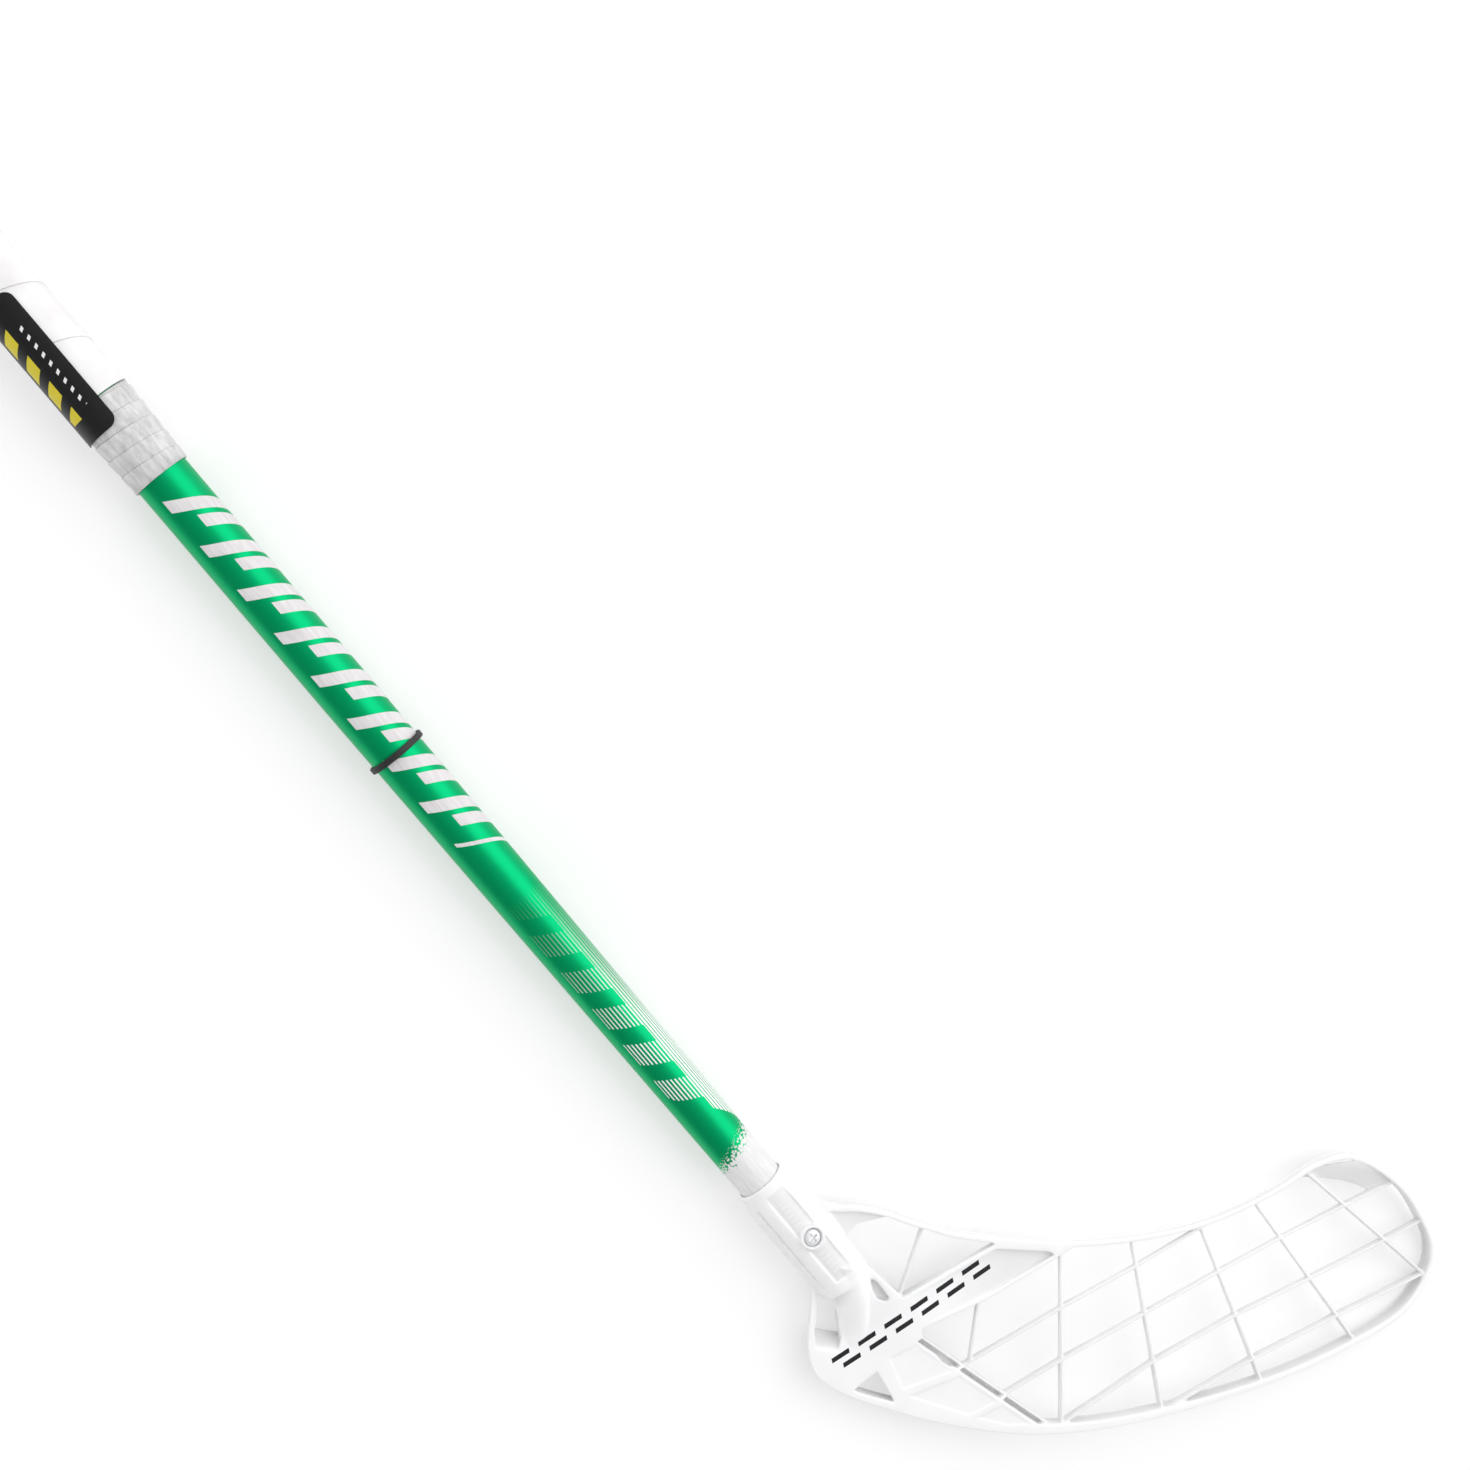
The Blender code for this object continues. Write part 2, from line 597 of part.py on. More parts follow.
def bent(point):
    """Point of the flat blade, as (u, v, z), where the hook takes it in the stick's frame."""
    drop, slope = hook(point.x)
    normal = Vector((slope, 0.0, 1.0)).normalized()
    height = point.z * depth_left(point.x, point.y)
    moved = Vector((point.x, point.y, -drop)) + normal * height
    return to_stick(moved.x, moved.y, moved.z)


def plate(name, outer, openings, depth):
    """Flat body with openings; its walls lean out from the middle of its depth."""
    builder = bmesh.new()
    places = {}
    for loop, lean in [(outer, -WALL_DRAFT)] + [(hole, WALL_DRAFT) for hole in openings]:
        corners = [builder.verts.new((point.x, point.y, depth / 2)) for point in loop]
        for start, end in zip(corners, corners[1:] + corners[:1]):
            builder.edges.new((start, end))
        for corner, place in zip(corners, inset_loop(loop, [lean] * len(loop))):
            places[round(corner.co.x, 7), round(corner.co.y, 7)] = place
    bmesh.ops.triangle_fill(builder, use_beauty=True, use_dissolve=False, edges=builder.edges[:],
                            normal=(0.0, 0.0, 1.0))
    border = [edge for edge in builder.edges if edge.is_boundary]
    walls = bmesh.ops.extrude_edge_only(builder, edges=border)
    for vertex in walls["geom"]:
        if isinstance(vertex, bmesh.types.BMVert):
            place = places[round(vertex.co.x, 7), round(vertex.co.y, 7)]
            vertex.co = (place.x, place.y, 0.0)
    bmesh.ops.mirror(builder, geom=builder.verts[:] + builder.edges[:] + builder.faces[:],
                     axis="Z", merge_dist=0.000001)
    return add_object(name, builder)


def prism(name, lower, upper):
    """Body between two loops of the same number of points."""
    return add_object(name, loft([[Vector(point) for point in lower],
                                  [Vector(point) for point in upper]]))


def web(corners, depth, low=0.0, slope=0.0):
    """Web between its corners, which may slope up from the line of its two end corners."""
    start = Vector(corners[0])
    along = (Vector(corners[4]) - start).normalized()
    out = Vector((-along.y, along.x)) * slope
    middles = [low + (Vector(corner) - start).dot(out) for corner in corners]
    return prism("web",
                 [(*corner, middle - depth / 2) for corner, middle in zip(corners, middles)],
                 [(*corner, middle + depth / 2) for corner, middle in zip(corners, middles)])


def flat_blade():
    """Rim, foot, ribs and webs of the blade before it is bent."""
    curve = smooth_loop(OUTLINE, OUTLINE_STEPS)
    outline = [point.xy for point in curve]
    rim = [point.z for point in curve]
    inside = inset_loop(outline, rim)
    frame = plate("blade", outline, frame_openings(inside), BLADE_DEPTH)
    within_rim = inset_loop(outline, [width - BURIED for width in rim])
    mid_rim = inset_loop(outline, [width * 0.35 for width in rim])
    cells = foot_cells(within_rim) + heel_openings(within_rim, BURIED) + rib_cells(within_rim)
    combine(frame, plate("ribs", mid_rim, cells, RIB_DEPTH), "UNION")
    combine(frame, web(NECK_WEB, NECK_WEB_DEPTH), "UNION")
    combine(frame, web(TIP_WEB, TIP_WEB_DEPTH, TIP_WEB_LOW, TIP_WEB_SLOPE), "UNION")
    front = BLADE_DEPTH / 2
    combine(frame, prism("pocket", [(u, v, front - depth) for u, v, depth in POCKET],
                         [(u, v, 2 * front) for u, v, depth in POCKET]), "DIFFERENCE")
    return frame


def rounded_row(place, across, width, thickness, roundness=1.0):
    """Closed section with its width along a direction and its thickness along Z."""
    row = []
    for side in range(HOSEL_SIDES):
        angle = math.tau * (side + 0.5) / HOSEL_SIDES
        wide = math.copysign(abs(math.cos(angle)) ** roundness, math.cos(angle))
        high = math.copysign(abs(math.sin(angle)) ** roundness, math.sin(angle))
        row.append(place + across * (width * wide) + Vector((0.0, 0.0, thickness * high)))
    return row


def hosel_body():
    """Outside of the socket, which widens from its mouth and narrows again at its end."""
    sections = [(0.0, HOSEL_MOUTH_RADIUS - HOSEL_LIP), (HOSEL_LIP, HOSEL_MOUTH_RADIUS)]
    for share in (0.3, 0.6, 1.0):
        widened = math.sin(share * math.pi / 2) * (HOSEL_RADIUS - HOSEL_MOUTH_RADIUS)
        sections.append((HOSEL_FLARE * share, HOSEL_MOUTH_RADIUS + widened))
    sections.append(((HOSEL_FLARE + 2 * HOSEL_LENGTH) / 3, HOSEL_RADIUS))
    sections.append((HOSEL_LENGTH, HOSEL_END_RADIUS))
    across = Vector((0.0, 1.0, 0.0))
    rows = [rounded_row(Vector((x, 0.0, 0.0)), across, radius, radius)
            for x, radius in sections]
    return add_object("hosel_body", loft(rows))


def neck():
    """Neck that grows out of the hosel's crown and runs down into the foot."""
    across = (to_stick(1.0, 0.0) - to_stick(0.0, 0.0)).normalized()
    rows = []
    for u, v, width, share in NECK_SECTIONS:
        thickness = HOSEL_END_RADIUS + share * (BLADE_DEPTH / 2 - HOSEL_END_RADIUS)
        rows.append(rounded_row(to_stick(u, v), across, width, thickness, NECK_ROUNDNESS))
    return add_object("neck", loft(rows))


def strip_cutter(name, middle, width, depth, start, steps):
    """Cutter that takes an even depth off the hosel from a start to the panel's end.

    Its middle is given in degrees round the hosel from the screw.
    """
    half_angle = math.asin(width / 2 / HOSEL_RADIUS)
    rows = []
    for step in range(steps + 1):
        angle = math.radians(FRONT_TURN + middle) + half_angle * (2 * step / steps - 1)
        around = Vector((0.0, math.sin(angle), math.cos(angle)))
        row = []
        for x, reach in ((start, HOSEL_RADIUS - depth), (PANEL_END, HOSEL_RADIUS - depth),
                         (PANEL_END, HOSEL_RADIUS + depth), (start, HOSEL_RADIUS + depth)):
            row.append(Vector((x, 0.0, 0.0)) + around * reach)
        rows.append(row)
    return add_object(name, loft(rows))


def round_block(name, radius, low, high, sides):
    """Cylinder on the screw's line, between two distances from the shaft's axis."""
    builder = bmesh.new()
    depth = high - low
    bmesh.ops.create_cone(builder, cap_ends=True, segments=sides, radius1=radius,
                          radius2=radius, depth=depth,
                          matrix=Matrix.Translation((0.0, 0.0, low + depth / 2)))
    return on_screw_line(add_object(name, builder), 0.0)


def on_screw_line(thing, height):
    """Put an object on the line of the screw, at a height above the shaft's axis."""
    turn = Matrix.Rotation(-math.radians(FRONT_TURN), 4, "X")
    thing.matrix_world = (Matrix.Translation((BOSS_FROM_MOUTH, 0.0, 0.0)) @ turn
                          @ Matrix.Translation((0.0, 0.0, height)))
    return thing


def screw_hole():
    """Cutter for the screw's way through the hosel and one wall of the shaft."""
    return round_block("screw_hole", SCREW_THREAD_DIAMETER / 2 + FIT, 0.0, 2 * HOSEL_RADIUS, 20)


def blade():
    """The whole blade is one moulding: rim, ribs, foot, neck, hosel and screw boss."""
    body = flat_blade()
    for vertex in body.data.vertices:
        vertex.co = bent(vertex.co)
    combine(body, hosel_body(), "UNION")
    combine(body, strip_cutter("panel", 0.0, PANEL_WIDTH, PANEL_DEPTH, PANEL_MARGIN, 8),
            "DIFFERENCE")
    for side in (-GROOVE_ANGLE, GROOVE_ANGLE):
        combine(body, strip_cutter("groove", side, GROOVE_WIDTH, GROOVE_DEPTH, GROOVE_MARGIN, 1),
                "DIFFERENCE")
    combine(body, neck(), "UNION")
    combine(body, round_block("boss", SEAT_RADIUS + BOSS_WALL, BORE_RADIUS,
                              HOSEL_RADIUS + BOSS_HEIGHT, 32), "UNION")
    combine(body, round_block("seat", SEAT_RADIUS, HOSEL_RADIUS - SEAT_DEPTH,
                              2 * HOSEL_RADIUS, 32), "DIFFERENCE")
    combine(body, screw_hole(), "DIFFERENCE")
    floor = HOSEL_LENGTH - HOSEL_FLOOR
    socket = turned([(-HOSEL_LENGTH, 0.0), (-HOSEL_LENGTH, BORE_RADIUS), (floor, BORE_RADIUS),
                     (floor, 0.0)])
    combine(body, add_object("socket", socket), "DIFFERENCE")
    body.data.materials.clear()
    body.data.materials.append(finish("white_plastic"))
    return body


def screw_rows():
    """Sections of the screw from the top of its head to its point."""
    head = SCREW_HEAD_DIAMETER / 2
    core = SCREW_CORE_DIAMETER / 2
    ridge_height = (SCREW_THREAD_DIAMETER - SCREW_CORE_DIAMETER) / 2
    sides = 16
    spokes = [Vector((math.cos(math.tau * k / sides), math.sin(math.tau * k / sides), 0.0))
              for k in range(sides)]
    rows = []
    for height, radius in ((1.0, 0.55 * head), (0.86, 0.80 * head), (0.50, 0.96 * head),
                           (0.15, head), (0.0, head), (0.0, core)):
        level = Vector((0.0, 0.0, height * SCREW_HEAD_HEIGHT))
        rows.append([spoke * radius + level for spoke in spokes])
    count = round(4 * SCREW_LENGTH / SCREW_PITCH)
    for index in range(1, count + 1):
        depth = SCREW_LENGTH * index / count
        narrowing = min(1.0, max(0.04, (SCREW_LENGTH - depth) / (1.5 * SCREW_PITCH)))
        row = []
        for k, spoke in enumerate(spokes):
            phase = (depth / SCREW_PITCH + k / sides) % 1.0
            ridge = max(0.0, 1.0 - 3.0 * abs(phase - 0.5)) * ridge_height
            row.append(spoke * (narrowing * (core + ridge)) - Vector((0.0, 0.0, depth)))
        rows.append(row)
    return rows


def blade_screw():
    """Round-headed screw with a cross slot; its thread is one ridge that winds down."""
    screw = add_object("blade_screw", loft(screw_rows()), finish("zinc_steel"))
    for turn in (0.0, math.pi / 2):
        builder = bmesh.new()
        shape = (Matrix.Translation((0.0, 0.0, SCREW_HEAD_HEIGHT)) @ Matrix.Rotation(turn, 4, "Z")
                 @ Matrix.Diagonal((SCREW_SLOT_SPAN, SCREW_SLOT_WIDTH, 2 * SCREW_SLOT_DEPTH, 1.0)))
        bmesh.ops.create_cube(builder, size=1.0, matrix=shape)
        combine(screw, add_object("screw_slot", builder), "DIFFERENCE")
    return on_screw_line(screw, HOSEL_RADIUS - SEAT_DEPTH + FIT)


def weight_and_centre(thing):
    """Mass of a piece and the centre of that mass, from the volume under each triangle."""
    builder = bmesh.new()
    builder.from_mesh(thing.data)
    bmesh.ops.triangulate(builder, faces=builder.faces)
    volume = 0.0
    moment = Vector()
    for face in builder.faces:
        a, b, c = (vertex.co for vertex in face.verts)
        part = a.dot(b.cross(c)) / 6
        volume += part
        moment += (a + b + c) / 4 * part
    builder.free()
    density = FINISHES[thing.data.materials[0].name.split(".")[0]][2]
    return volume * density, thing.matrix_world @ (moment / volume)


def resting_pose(pieces):
    """Matrix that lays the stick on the floor, on the three points that carry it."""
    bpy.context.view_layer.update()
    masses = [weight_and_centre(piece) for piece in pieces]
    total = sum(mass for mass, _ in masses)
    centre = sum((place * mass for mass, place in masses), Vector()) / total
    corners = [piece.matrix_world @ vertex.co for piece in pieces
               for vertex in piece.data.vertices]
    builder = bmesh.new()
    cloud = [builder.verts.new(corner) for corner in corners]
    bmesh.ops.convex_hull(builder, input=cloud)
    bmesh.ops.triangulate(builder, faces=builder.faces)
    turn = None
    for face in builder.faces:
        normal = face.normal
        if normal.z > -0.5:
            continue
        foot = centre - normal * (centre - face.verts[0].co).dot(normal)
        if face.calc_area() > 0.0 and inside_triangle(foot, face):
            turn = normal.rotation_difference(Vector((0.0, 0.0, -1.0))).to_matrix()
    builder.free()
    shaft = turn @ Vector((1.0, 0.0, 0.0))
    turn = Matrix.Rotation(-math.atan2(shaft.y, shaft.x), 3, "Z") @ turn
    turned_corners = [turn @ corner for corner in corners]
    low = [min(corner[k] for corner in turned_corners) for k in range(3)]
    high = [max(corner[k] for corner in turned_corners) for k in range(3)]
    shift = Vector(((low[0] + high[0]) / 2, (low[1] + high[1]) / 2, low[2]))
    return Matrix.Translation(-shift) @ turn.to_4x4()


def inside_triangle(point, face):
    """Whether a point in the face's plane lies within the face."""
    corners = [vertex.co for vertex in face.verts]
    for start, end in zip(corners, corners[1:] + corners[:1]):
        if (end - start).cross(point - start).dot(face.normal) < 0.0:
            return False
    return True


def build():
    clear_scene()
    pieces = [shaft_tube(), end_cap(), grip_wrap(), finishing_tape(), grip_label(),
              rubber_ring(), blade(), blade_screw()]
    stick = bpy.data.objects.new("stick", None)
    bpy.context.scene.collection.objects.link(stick)
    stick.matrix_world = resting_pose(pieces)
    for piece in pieces:
        piece.parent = stick


build()
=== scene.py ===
import json
import math

import bmesh
import bpy
from mathutils import Matrix, Vector


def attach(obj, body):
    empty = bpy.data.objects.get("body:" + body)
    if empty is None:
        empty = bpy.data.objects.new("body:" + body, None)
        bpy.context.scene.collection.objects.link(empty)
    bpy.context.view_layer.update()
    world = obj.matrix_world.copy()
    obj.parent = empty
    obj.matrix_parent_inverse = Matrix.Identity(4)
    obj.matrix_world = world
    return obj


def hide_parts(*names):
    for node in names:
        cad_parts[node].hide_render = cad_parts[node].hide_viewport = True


# Floorball stick. Every piece is shaped in the stick's own frame, X down the shaft to the
# blade and Z out of the blade's rounded side, and then laid where the stick lies.

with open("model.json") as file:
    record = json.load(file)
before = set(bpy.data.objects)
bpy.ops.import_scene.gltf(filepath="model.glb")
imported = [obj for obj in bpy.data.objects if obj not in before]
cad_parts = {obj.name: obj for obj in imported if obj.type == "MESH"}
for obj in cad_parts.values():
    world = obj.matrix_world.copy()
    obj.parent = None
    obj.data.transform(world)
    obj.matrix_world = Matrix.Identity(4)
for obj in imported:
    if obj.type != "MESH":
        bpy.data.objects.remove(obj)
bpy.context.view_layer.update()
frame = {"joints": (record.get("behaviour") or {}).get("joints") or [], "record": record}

# The shaft and what is on it, in metres, with places measured from the hosel's mouth
BUTT_TO_MOUTH = 0.7993
ROLL = math.asin(0.0770575)
SHAFT_RADIUS = 0.0110
SHAFT_TIP_RADIUS = 0.0095
SHAFT_WALL = 0.0012
SHAFT_END = 0.0537
TAPER_START = -0.2580
RING_PLACE = -0.2300
RING_GAP = 0.0003
RING_THICKNESS = 0.0012
RING_WIDTH = 0.0026
RING_EDGE = 0.00055
WRAP_FIT = 0.0004
GRIP_LOW = -0.4045
GRIP_HIGH = -0.7945
GRIP_WIDTH = 0.02546
GRIP_GAP = 0.00004
GRIP_THICKNESS = 0.0015
GRIP_RISE = 0.0004
GRIP_EDGE = 0.0003
TAPE_LOW = -0.3680
TAPE_HIGH = -0.4040
TAPE_WIDTH = 0.00709
TAPE_GAP = 0.00001
TAPE_THICKNESS = 0.0005
TAPE_RISE = 0.0003
TAPE_EDGE = 0.00024
TAPE_GROWTH = 1.5
LABEL_LOW = TAPE_LOW - 0.0245
LABEL_HIGH = TAPE_LOW - 0.0865
LABEL_FROM = math.radians(-12.0)
LABEL_TO = math.radians(105.0)
LABEL_CORNER = 0.004
LABEL_THICKNESS = 0.0003
LABEL_FIT = 0.0001
CAP_LIP = 0.0007
CAP_FLANGE = 0.0045
CAP_EDGE = 0.0016
CAP_RING = (0.0020, 0.0090)
CAP_RING_DEPTH = 0.0004
CAP_PLUG_LENGTH = 0.026
CAP_PLUG_WALL = 0.0018
CAP_FIT = 0.0003

# The hosel and the screw
HOSEL_LENGTH = 0.057
HOSEL_RADIUS = 0.0124
HOSEL_WALL = 0.0021
HOSEL_FLOOR = 0.003
BORE_RADIUS = 0.0098
MOUTH_RADIUS = 0.0107
MOUTH_EDGE = 0.0004
MOUTH_SHOULDER = 0.013
PANEL_START = 0.004
PANEL_END = 0.0515
PANEL_WIDTH = 0.0095
PANEL_DEPTH = 0.0010
GROOVE_TURN = 54.0
GROOVE_START = 0.0075
GROOVE_WIDTH = 0.0013
SCREW_PLACE = 0.0292
SCREW_TURN = math.radians(13.0)
SCREW_HOLE_RADIUS = 0.0023
THREAD_PITCH = 0.0014
THREAD_TURNS = 4
SEAT_RADIUS = 0.0039
SEAT_DEPTH = 0.0012
BOSS_RIM = 0.0013
BOSS_HEIGHT = 0.0008

# The blade; in its plane u runs to the tip and v up from the sole
LIE_ANGLE = math.radians(50.0)
HOSEL_FOOT = (0.0141, 0.0695)
BLADE_DEPTH = 0.0075
NECK_ROUNDNESS = 0.8
FILLET_RISE = 0.0012
FILLET_START = 0.006
FILLET_RUN = 0.004
RIB_DEPTH = 0.0048
RIB_WIDTH = 0.0018
PANEL_CUT = 0.00035
NECK_WEB_DEPTH = 0.0048
TIP_WEB_DEPTH = 0.0014
TIP_WEB_SLOPE = 0.46
TIP_WEB_LOW = -0.0030
SLOT_WIDTH = 0.0016
SLOT_RIB_WIDTH = 0.0014
SLOT_RUN_ON = 0.008
SLOT_FLOOR = -0.0022
SLOT_FLOOR_DEPTH = 0.0014
SLOT_BRIDGES = ((0.0630, 0.0302), (0.0818, 0.0163))
BRIDGE_REACH = (0.0019, 0.0011)
BRIDGE_DEPTH = 0.0074
HOOK_DEPTH = 0.025
HOOK_START = 0.040
HOOK_END = 0.285
# It grows thinner towards its top edge, over stretches of u, of v and of u again
TOP_THINNING = 0.40
TOP_STRETCHES = ((0.030, 0.060), (0.025, 0.075), (0.262, 0.212))

along = Vector(frame["joints"][0]["axis"]).normalized()
butt = Vector(frame["record"]["mounts"][0]["pos_m"])
STICK = (Matrix.Translation(butt + along * BUTT_TO_MOUTH)
         @ Matrix.Rotation(-math.asin(along.z), 4, "Y") @ Matrix.Rotation(ROLL, 4, "X"))
BLADE = (Matrix.Translation((HOSEL_LENGTH, 0.0, 0.0)) @ Matrix.Rotation(LIE_ANGLE, 4, "Z")
         @ Matrix.Translation((-HOSEL_FOOT[0], -HOSEL_FOOT[1], 0.0)))
SCREW = Matrix.Translation((SCREW_PLACE, 0.0, 0.0)) @ Matrix.Rotation(-SCREW_TURN, 4, "X")

# The blade's outline as (u, v, width of the rim there)
OUTLINE = [
    (-0.0007, 0.0710, 0.0022), (-0.0007, 0.0440, 0.0022), (0.0008, 0.0342, 0.0024),
    (0.0050, 0.0274, 0.0026), (0.0165, 0.0202, 0.0030), (0.0340, 0.0137, 0.0036),
    (0.0600, 0.0061, 0.0042), (0.0950, 0.0004, 0.0044), (0.1300, 0.0014, 0.0038),
    (0.1701, 0.0083, 0.0030), (0.2082, 0.0177, 0.0026), (0.2422, 0.0301, 0.0025),
    (0.2650, 0.0421, 0.0025), (0.2769, 0.0589, 0.0023), (0.2785, 0.0705, 0.0023),
    (0.2743, 0.0816, 0.0022), (0.2612, 0.1001, 0.0022), (0.2387, 0.1150, 0.0022),
    (0.2198, 0.1132, 0.0019), (0.1983, 0.1012, 0.0016), (0.1676, 0.0895, 0.0016),
    (0.1318, 0.0843, 0.0018), (0.0981, 0.0845, 0.0022), (0.0624, 0.0891, 0.0022),
    (0.0500, 0.0924, 0.0018), (0.0384, 0.0963, 0.0018), (0.0289, 0.1000, 0.0020),
    (0.0171, 0.1024, 0.0024), (0.0092, 0.1024, 0.0024), (0.0033, 0.1045, 0.0024),
    (-0.0016, 0.1090, 0.0024), (-0.0070, 0.1130, 0.0024), (-0.0140, 0.1120, 0.0024),
]
CROSS_RIBS = [
    ((0.1053, 0.0880), (0.1095, 0.0000)),
    ((0.1355, 0.0885), (0.1545, 0.0040)),
    ((0.1648, 0.0935), (0.2006, 0.0130)),
    ((0.1881, 0.1016), (0.2442, 0.0290)),
    ((0.2113, 0.1119), (0.2775, 0.0561)),
]
LONG_RIBS = [
    [(0.1070, 0.0550), (0.1390, 0.0715), (0.1715, 0.0894)],
    [(0.1080, 0.0320), (0.1430, 0.0500), (0.1755, 0.0665), (0.2040, 0.0800),
     (0.2330, 0.0925), (0.2603, 0.1034)],
    [(0.1100, 0.0040), (0.1490, 0.0290), (0.1840, 0.0465), (0.2180, 0.0605),
     (0.2540, 0.0755), (0.2775, 0.0857)],
    [(0.1530, 0.0060), (0.1950, 0.0270), (0.2330, 0.0430), (0.2765, 0.0596)],
]
# Ribs by the foot; each runs a little way into the solid foot
FOOT_RIBS = [
    ((0.0467, 0.0944), (0.0368, 0.0606)), ((0.0713, 0.0620), (0.0683, 0.0330)),
    ((0.0600, 0.0282), (0.1070, 0.0550)), ((0.0795, 0.0153), (0.1080, 0.0320)),
]
BAND_TOP = ((0.0300, 0.0575), (0.0800, 0.0858))
BAND_HEEL = ((0.0467, 0.0482), (0.0166, 0.0226))
BAND_TIP = ((0.1065, 0.0790), (0.0761, 0.0613))
NECK_RIGHT = ((0.0150, 0.0860), (0.0305, 0.0604))
NECK_CORNER = ((0.0249, 0.0750), (0.0370, 0.0635))
PLATE_EDGE = ((0.0483, 0.0406), (0.1017, 0.0022))
PLATE_HEEL = ((0.0394, 0.0119), (0.0304, 0.0275))
BAND_BEND = [(0.0761, 0.0613), (0.0467, 0.0482), (0.0483, 0.0406), (0.0700, 0.0440)]
HEEL_CELL = [(0.0022, 0.0475), (0.0130, 0.0455), (0.0138, 0.0505), (0.0075, 0.0640)]
HEEL_RAMP = [(0.0022, 0.0410, 0.0), (0.0120, 0.0392, 0.0), (0.0132, 0.0468, 0.0080),
             (0.0018, 0.0488, 0.0080)]
TIP_WEB = [(0.2140, 0.1060), (0.2200, 0.1055), (0.2330, 0.1035), (0.2400, 0.1010),
           (0.2475, 0.0975), (0.2575, 0.1010), (0.2387, 0.1132), (0.2200, 0.1108)]
NECK_WEB = [(0.0030, 0.0980), (0.0090, 0.0880), (0.0147, 0.0906), (0.0187, 0.0947),
            (0.0248, 0.0959), (0.0320, 0.0975), (0.0170, 0.1010), (0.0050, 0.1040)]
WEDGE = [(0.0242, 0.0714), (0.0256, 0.0659), (0.0278, 0.0619), (0.0312, 0.0610),
         (0.0326, 0.0626), (0.0274, 0.0695)]
POCKET = [(0.0480, 0.0505, 0.0001), (0.0755, 0.0628, 0.0018), (0.1030, 0.0787, 0.0044),
          (0.1000, 0.0803, 0.0044), (0.0775, 0.0822, 0.0026), (0.0430, 0.0628, 0.0001)]
# Shallow panels of the foot between its faint ridges
PANELS = [
    [(0.0335, 0.0365), (0.0395, 0.0225), (0.0610, 0.0300), (0.0470, 0.0400), (0.0455, 0.0425)],
    [(0.0420, 0.0195), (0.0685, 0.0100), (0.0800, 0.0160), (0.0635, 0.0278)],
    [(0.0715, 0.0090), (0.0860, 0.0050), (0.0950, 0.0052), (0.0825, 0.0142)],
]
SLOT_POCKET = [(0.0533, 0.0372), (0.0562, 0.0335), (0.0600, 0.0312), (0.0618, 0.0325)]
PRINT_START = (0.0110, 0.0290)
PRINT_ANGLE = math.radians(33.5)
# Sections of the neck as (u, v, half width, share of the way from hosel to foot)
NECK_SECTIONS = [
    (0.0140, 0.0790, 0.0075, -0.02), (0.0163, 0.0720, 0.0070, 0.02),
    (0.0171, 0.0660, 0.0070, 0.16), (0.0174, 0.0600, 0.0071, 0.40),
    (0.0180, 0.0540, 0.0070, 0.66), (0.0187, 0.0480, 0.0068, 0.86),
    (0.0194, 0.0420, 0.0064, 0.99), (0.0200, 0.0370, 0.0058, 1.06),
]

# Print on the shaft, in millimetres down from the finishing tape, and round from its top
SHAFT_ROUND = 10.6
BARS_START, BARS_END = 11.0, 184.0
BAR_PITCH, BAR_WIDTH, SHORT_BAR_START = 21.4, 5.6, 8.0
LINES_START, LINES_END, LINE_HALF_PITCH = 198.0, 322.0, 0.8
PATCHES_START, PATCH_PITCH, PATCH_WIDTH, PATCH_SIDE = 222.0, 19.5, 8.5, 6.5
FADE_START, FADE_END = 344.2, 347.2

# Dashes on the blade's band, in millimetres
DASHES_END, DASH_PITCH, DASH_LENGTH, DASH_HEIGHT = 78.0, 13.0, 8.5, 2.0

# The photo's view in the stick's frame; the focal length and the width are in its pixels
CAMERA_PLACE = (-0.3025, 0.1073, 0.8636)
CAMERA_AHEAD = (0.17365, 0.0, -0.98481)
CAMERA_RIGHT = (0.62097, 0.77615, 0.10949)
FOCAL_LENGTH = 2200.0
PHOTO_WIDTH = 1470.0
SENSOR_WIDTH = 36.0

VOXEL = 0.0004
TRIANGLES = 190000
ROUND = 128
SHARP_ANGLE = math.radians(40.0)


# Shapes

def everything(builder):
    return builder.verts[:] + builder.edges[:] + builder.faces[:]


def add_mesh(name, builder):
    """Object from a bmesh, with its faces turned outwards."""
    bmesh.ops.recalc_face_normals(builder, faces=builder.faces)
    mesh = bpy.data.meshes.new(name)
    builder.to_mesh(mesh)
    builder.free()
    thing = bpy.data.objects.new(name, mesh)
    bpy.context.scene.collection.objects.link(thing)
    return thing


def apply_modifiers(thing):
    bpy.context.view_layer.update()
    shape = thing.evaluated_get(bpy.context.evaluated_depsgraph_get())
    mesh = bpy.data.meshes.new_from_object(shape)
    thing.modifiers.clear()
    thing.data = mesh


def combine(thing, tool, operation):
    """Cut a tool out of a thing, or weld it on."""
    modifier = thing.modifiers.new("fit", "BOOLEAN")
    modifier.operation = operation
    modifier.object = tool
    modifier.solver = "EXACT"
    apply_modifiers(thing)
    bpy.data.objects.remove(tool)


def finish_piece(thing, material, slot, body, *nodes):
    """Lay a piece where the stick lies, give it its finish, hang it on its body, and hide the
    model's nodes that it stands in for.
    """
    thing.data.transform(STICK)
    thing.data.materials.clear()
    thing.data.materials.append(material)
    thing.data.shade_smooth()
    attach(thing, body)
    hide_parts(*nodes)


def trace(profile, closed=True):
    """Bmesh with edges along a profile of (x, radius)."""
    builder = bmesh.new()
    corners = [builder.verts.new((x, 0.0, radius)) for x, radius in profile]
    for one, other in zip(corners, corners[1:] + corners[:1] if closed else corners[1:]):
        builder.edges.new((one, other))
    return builder


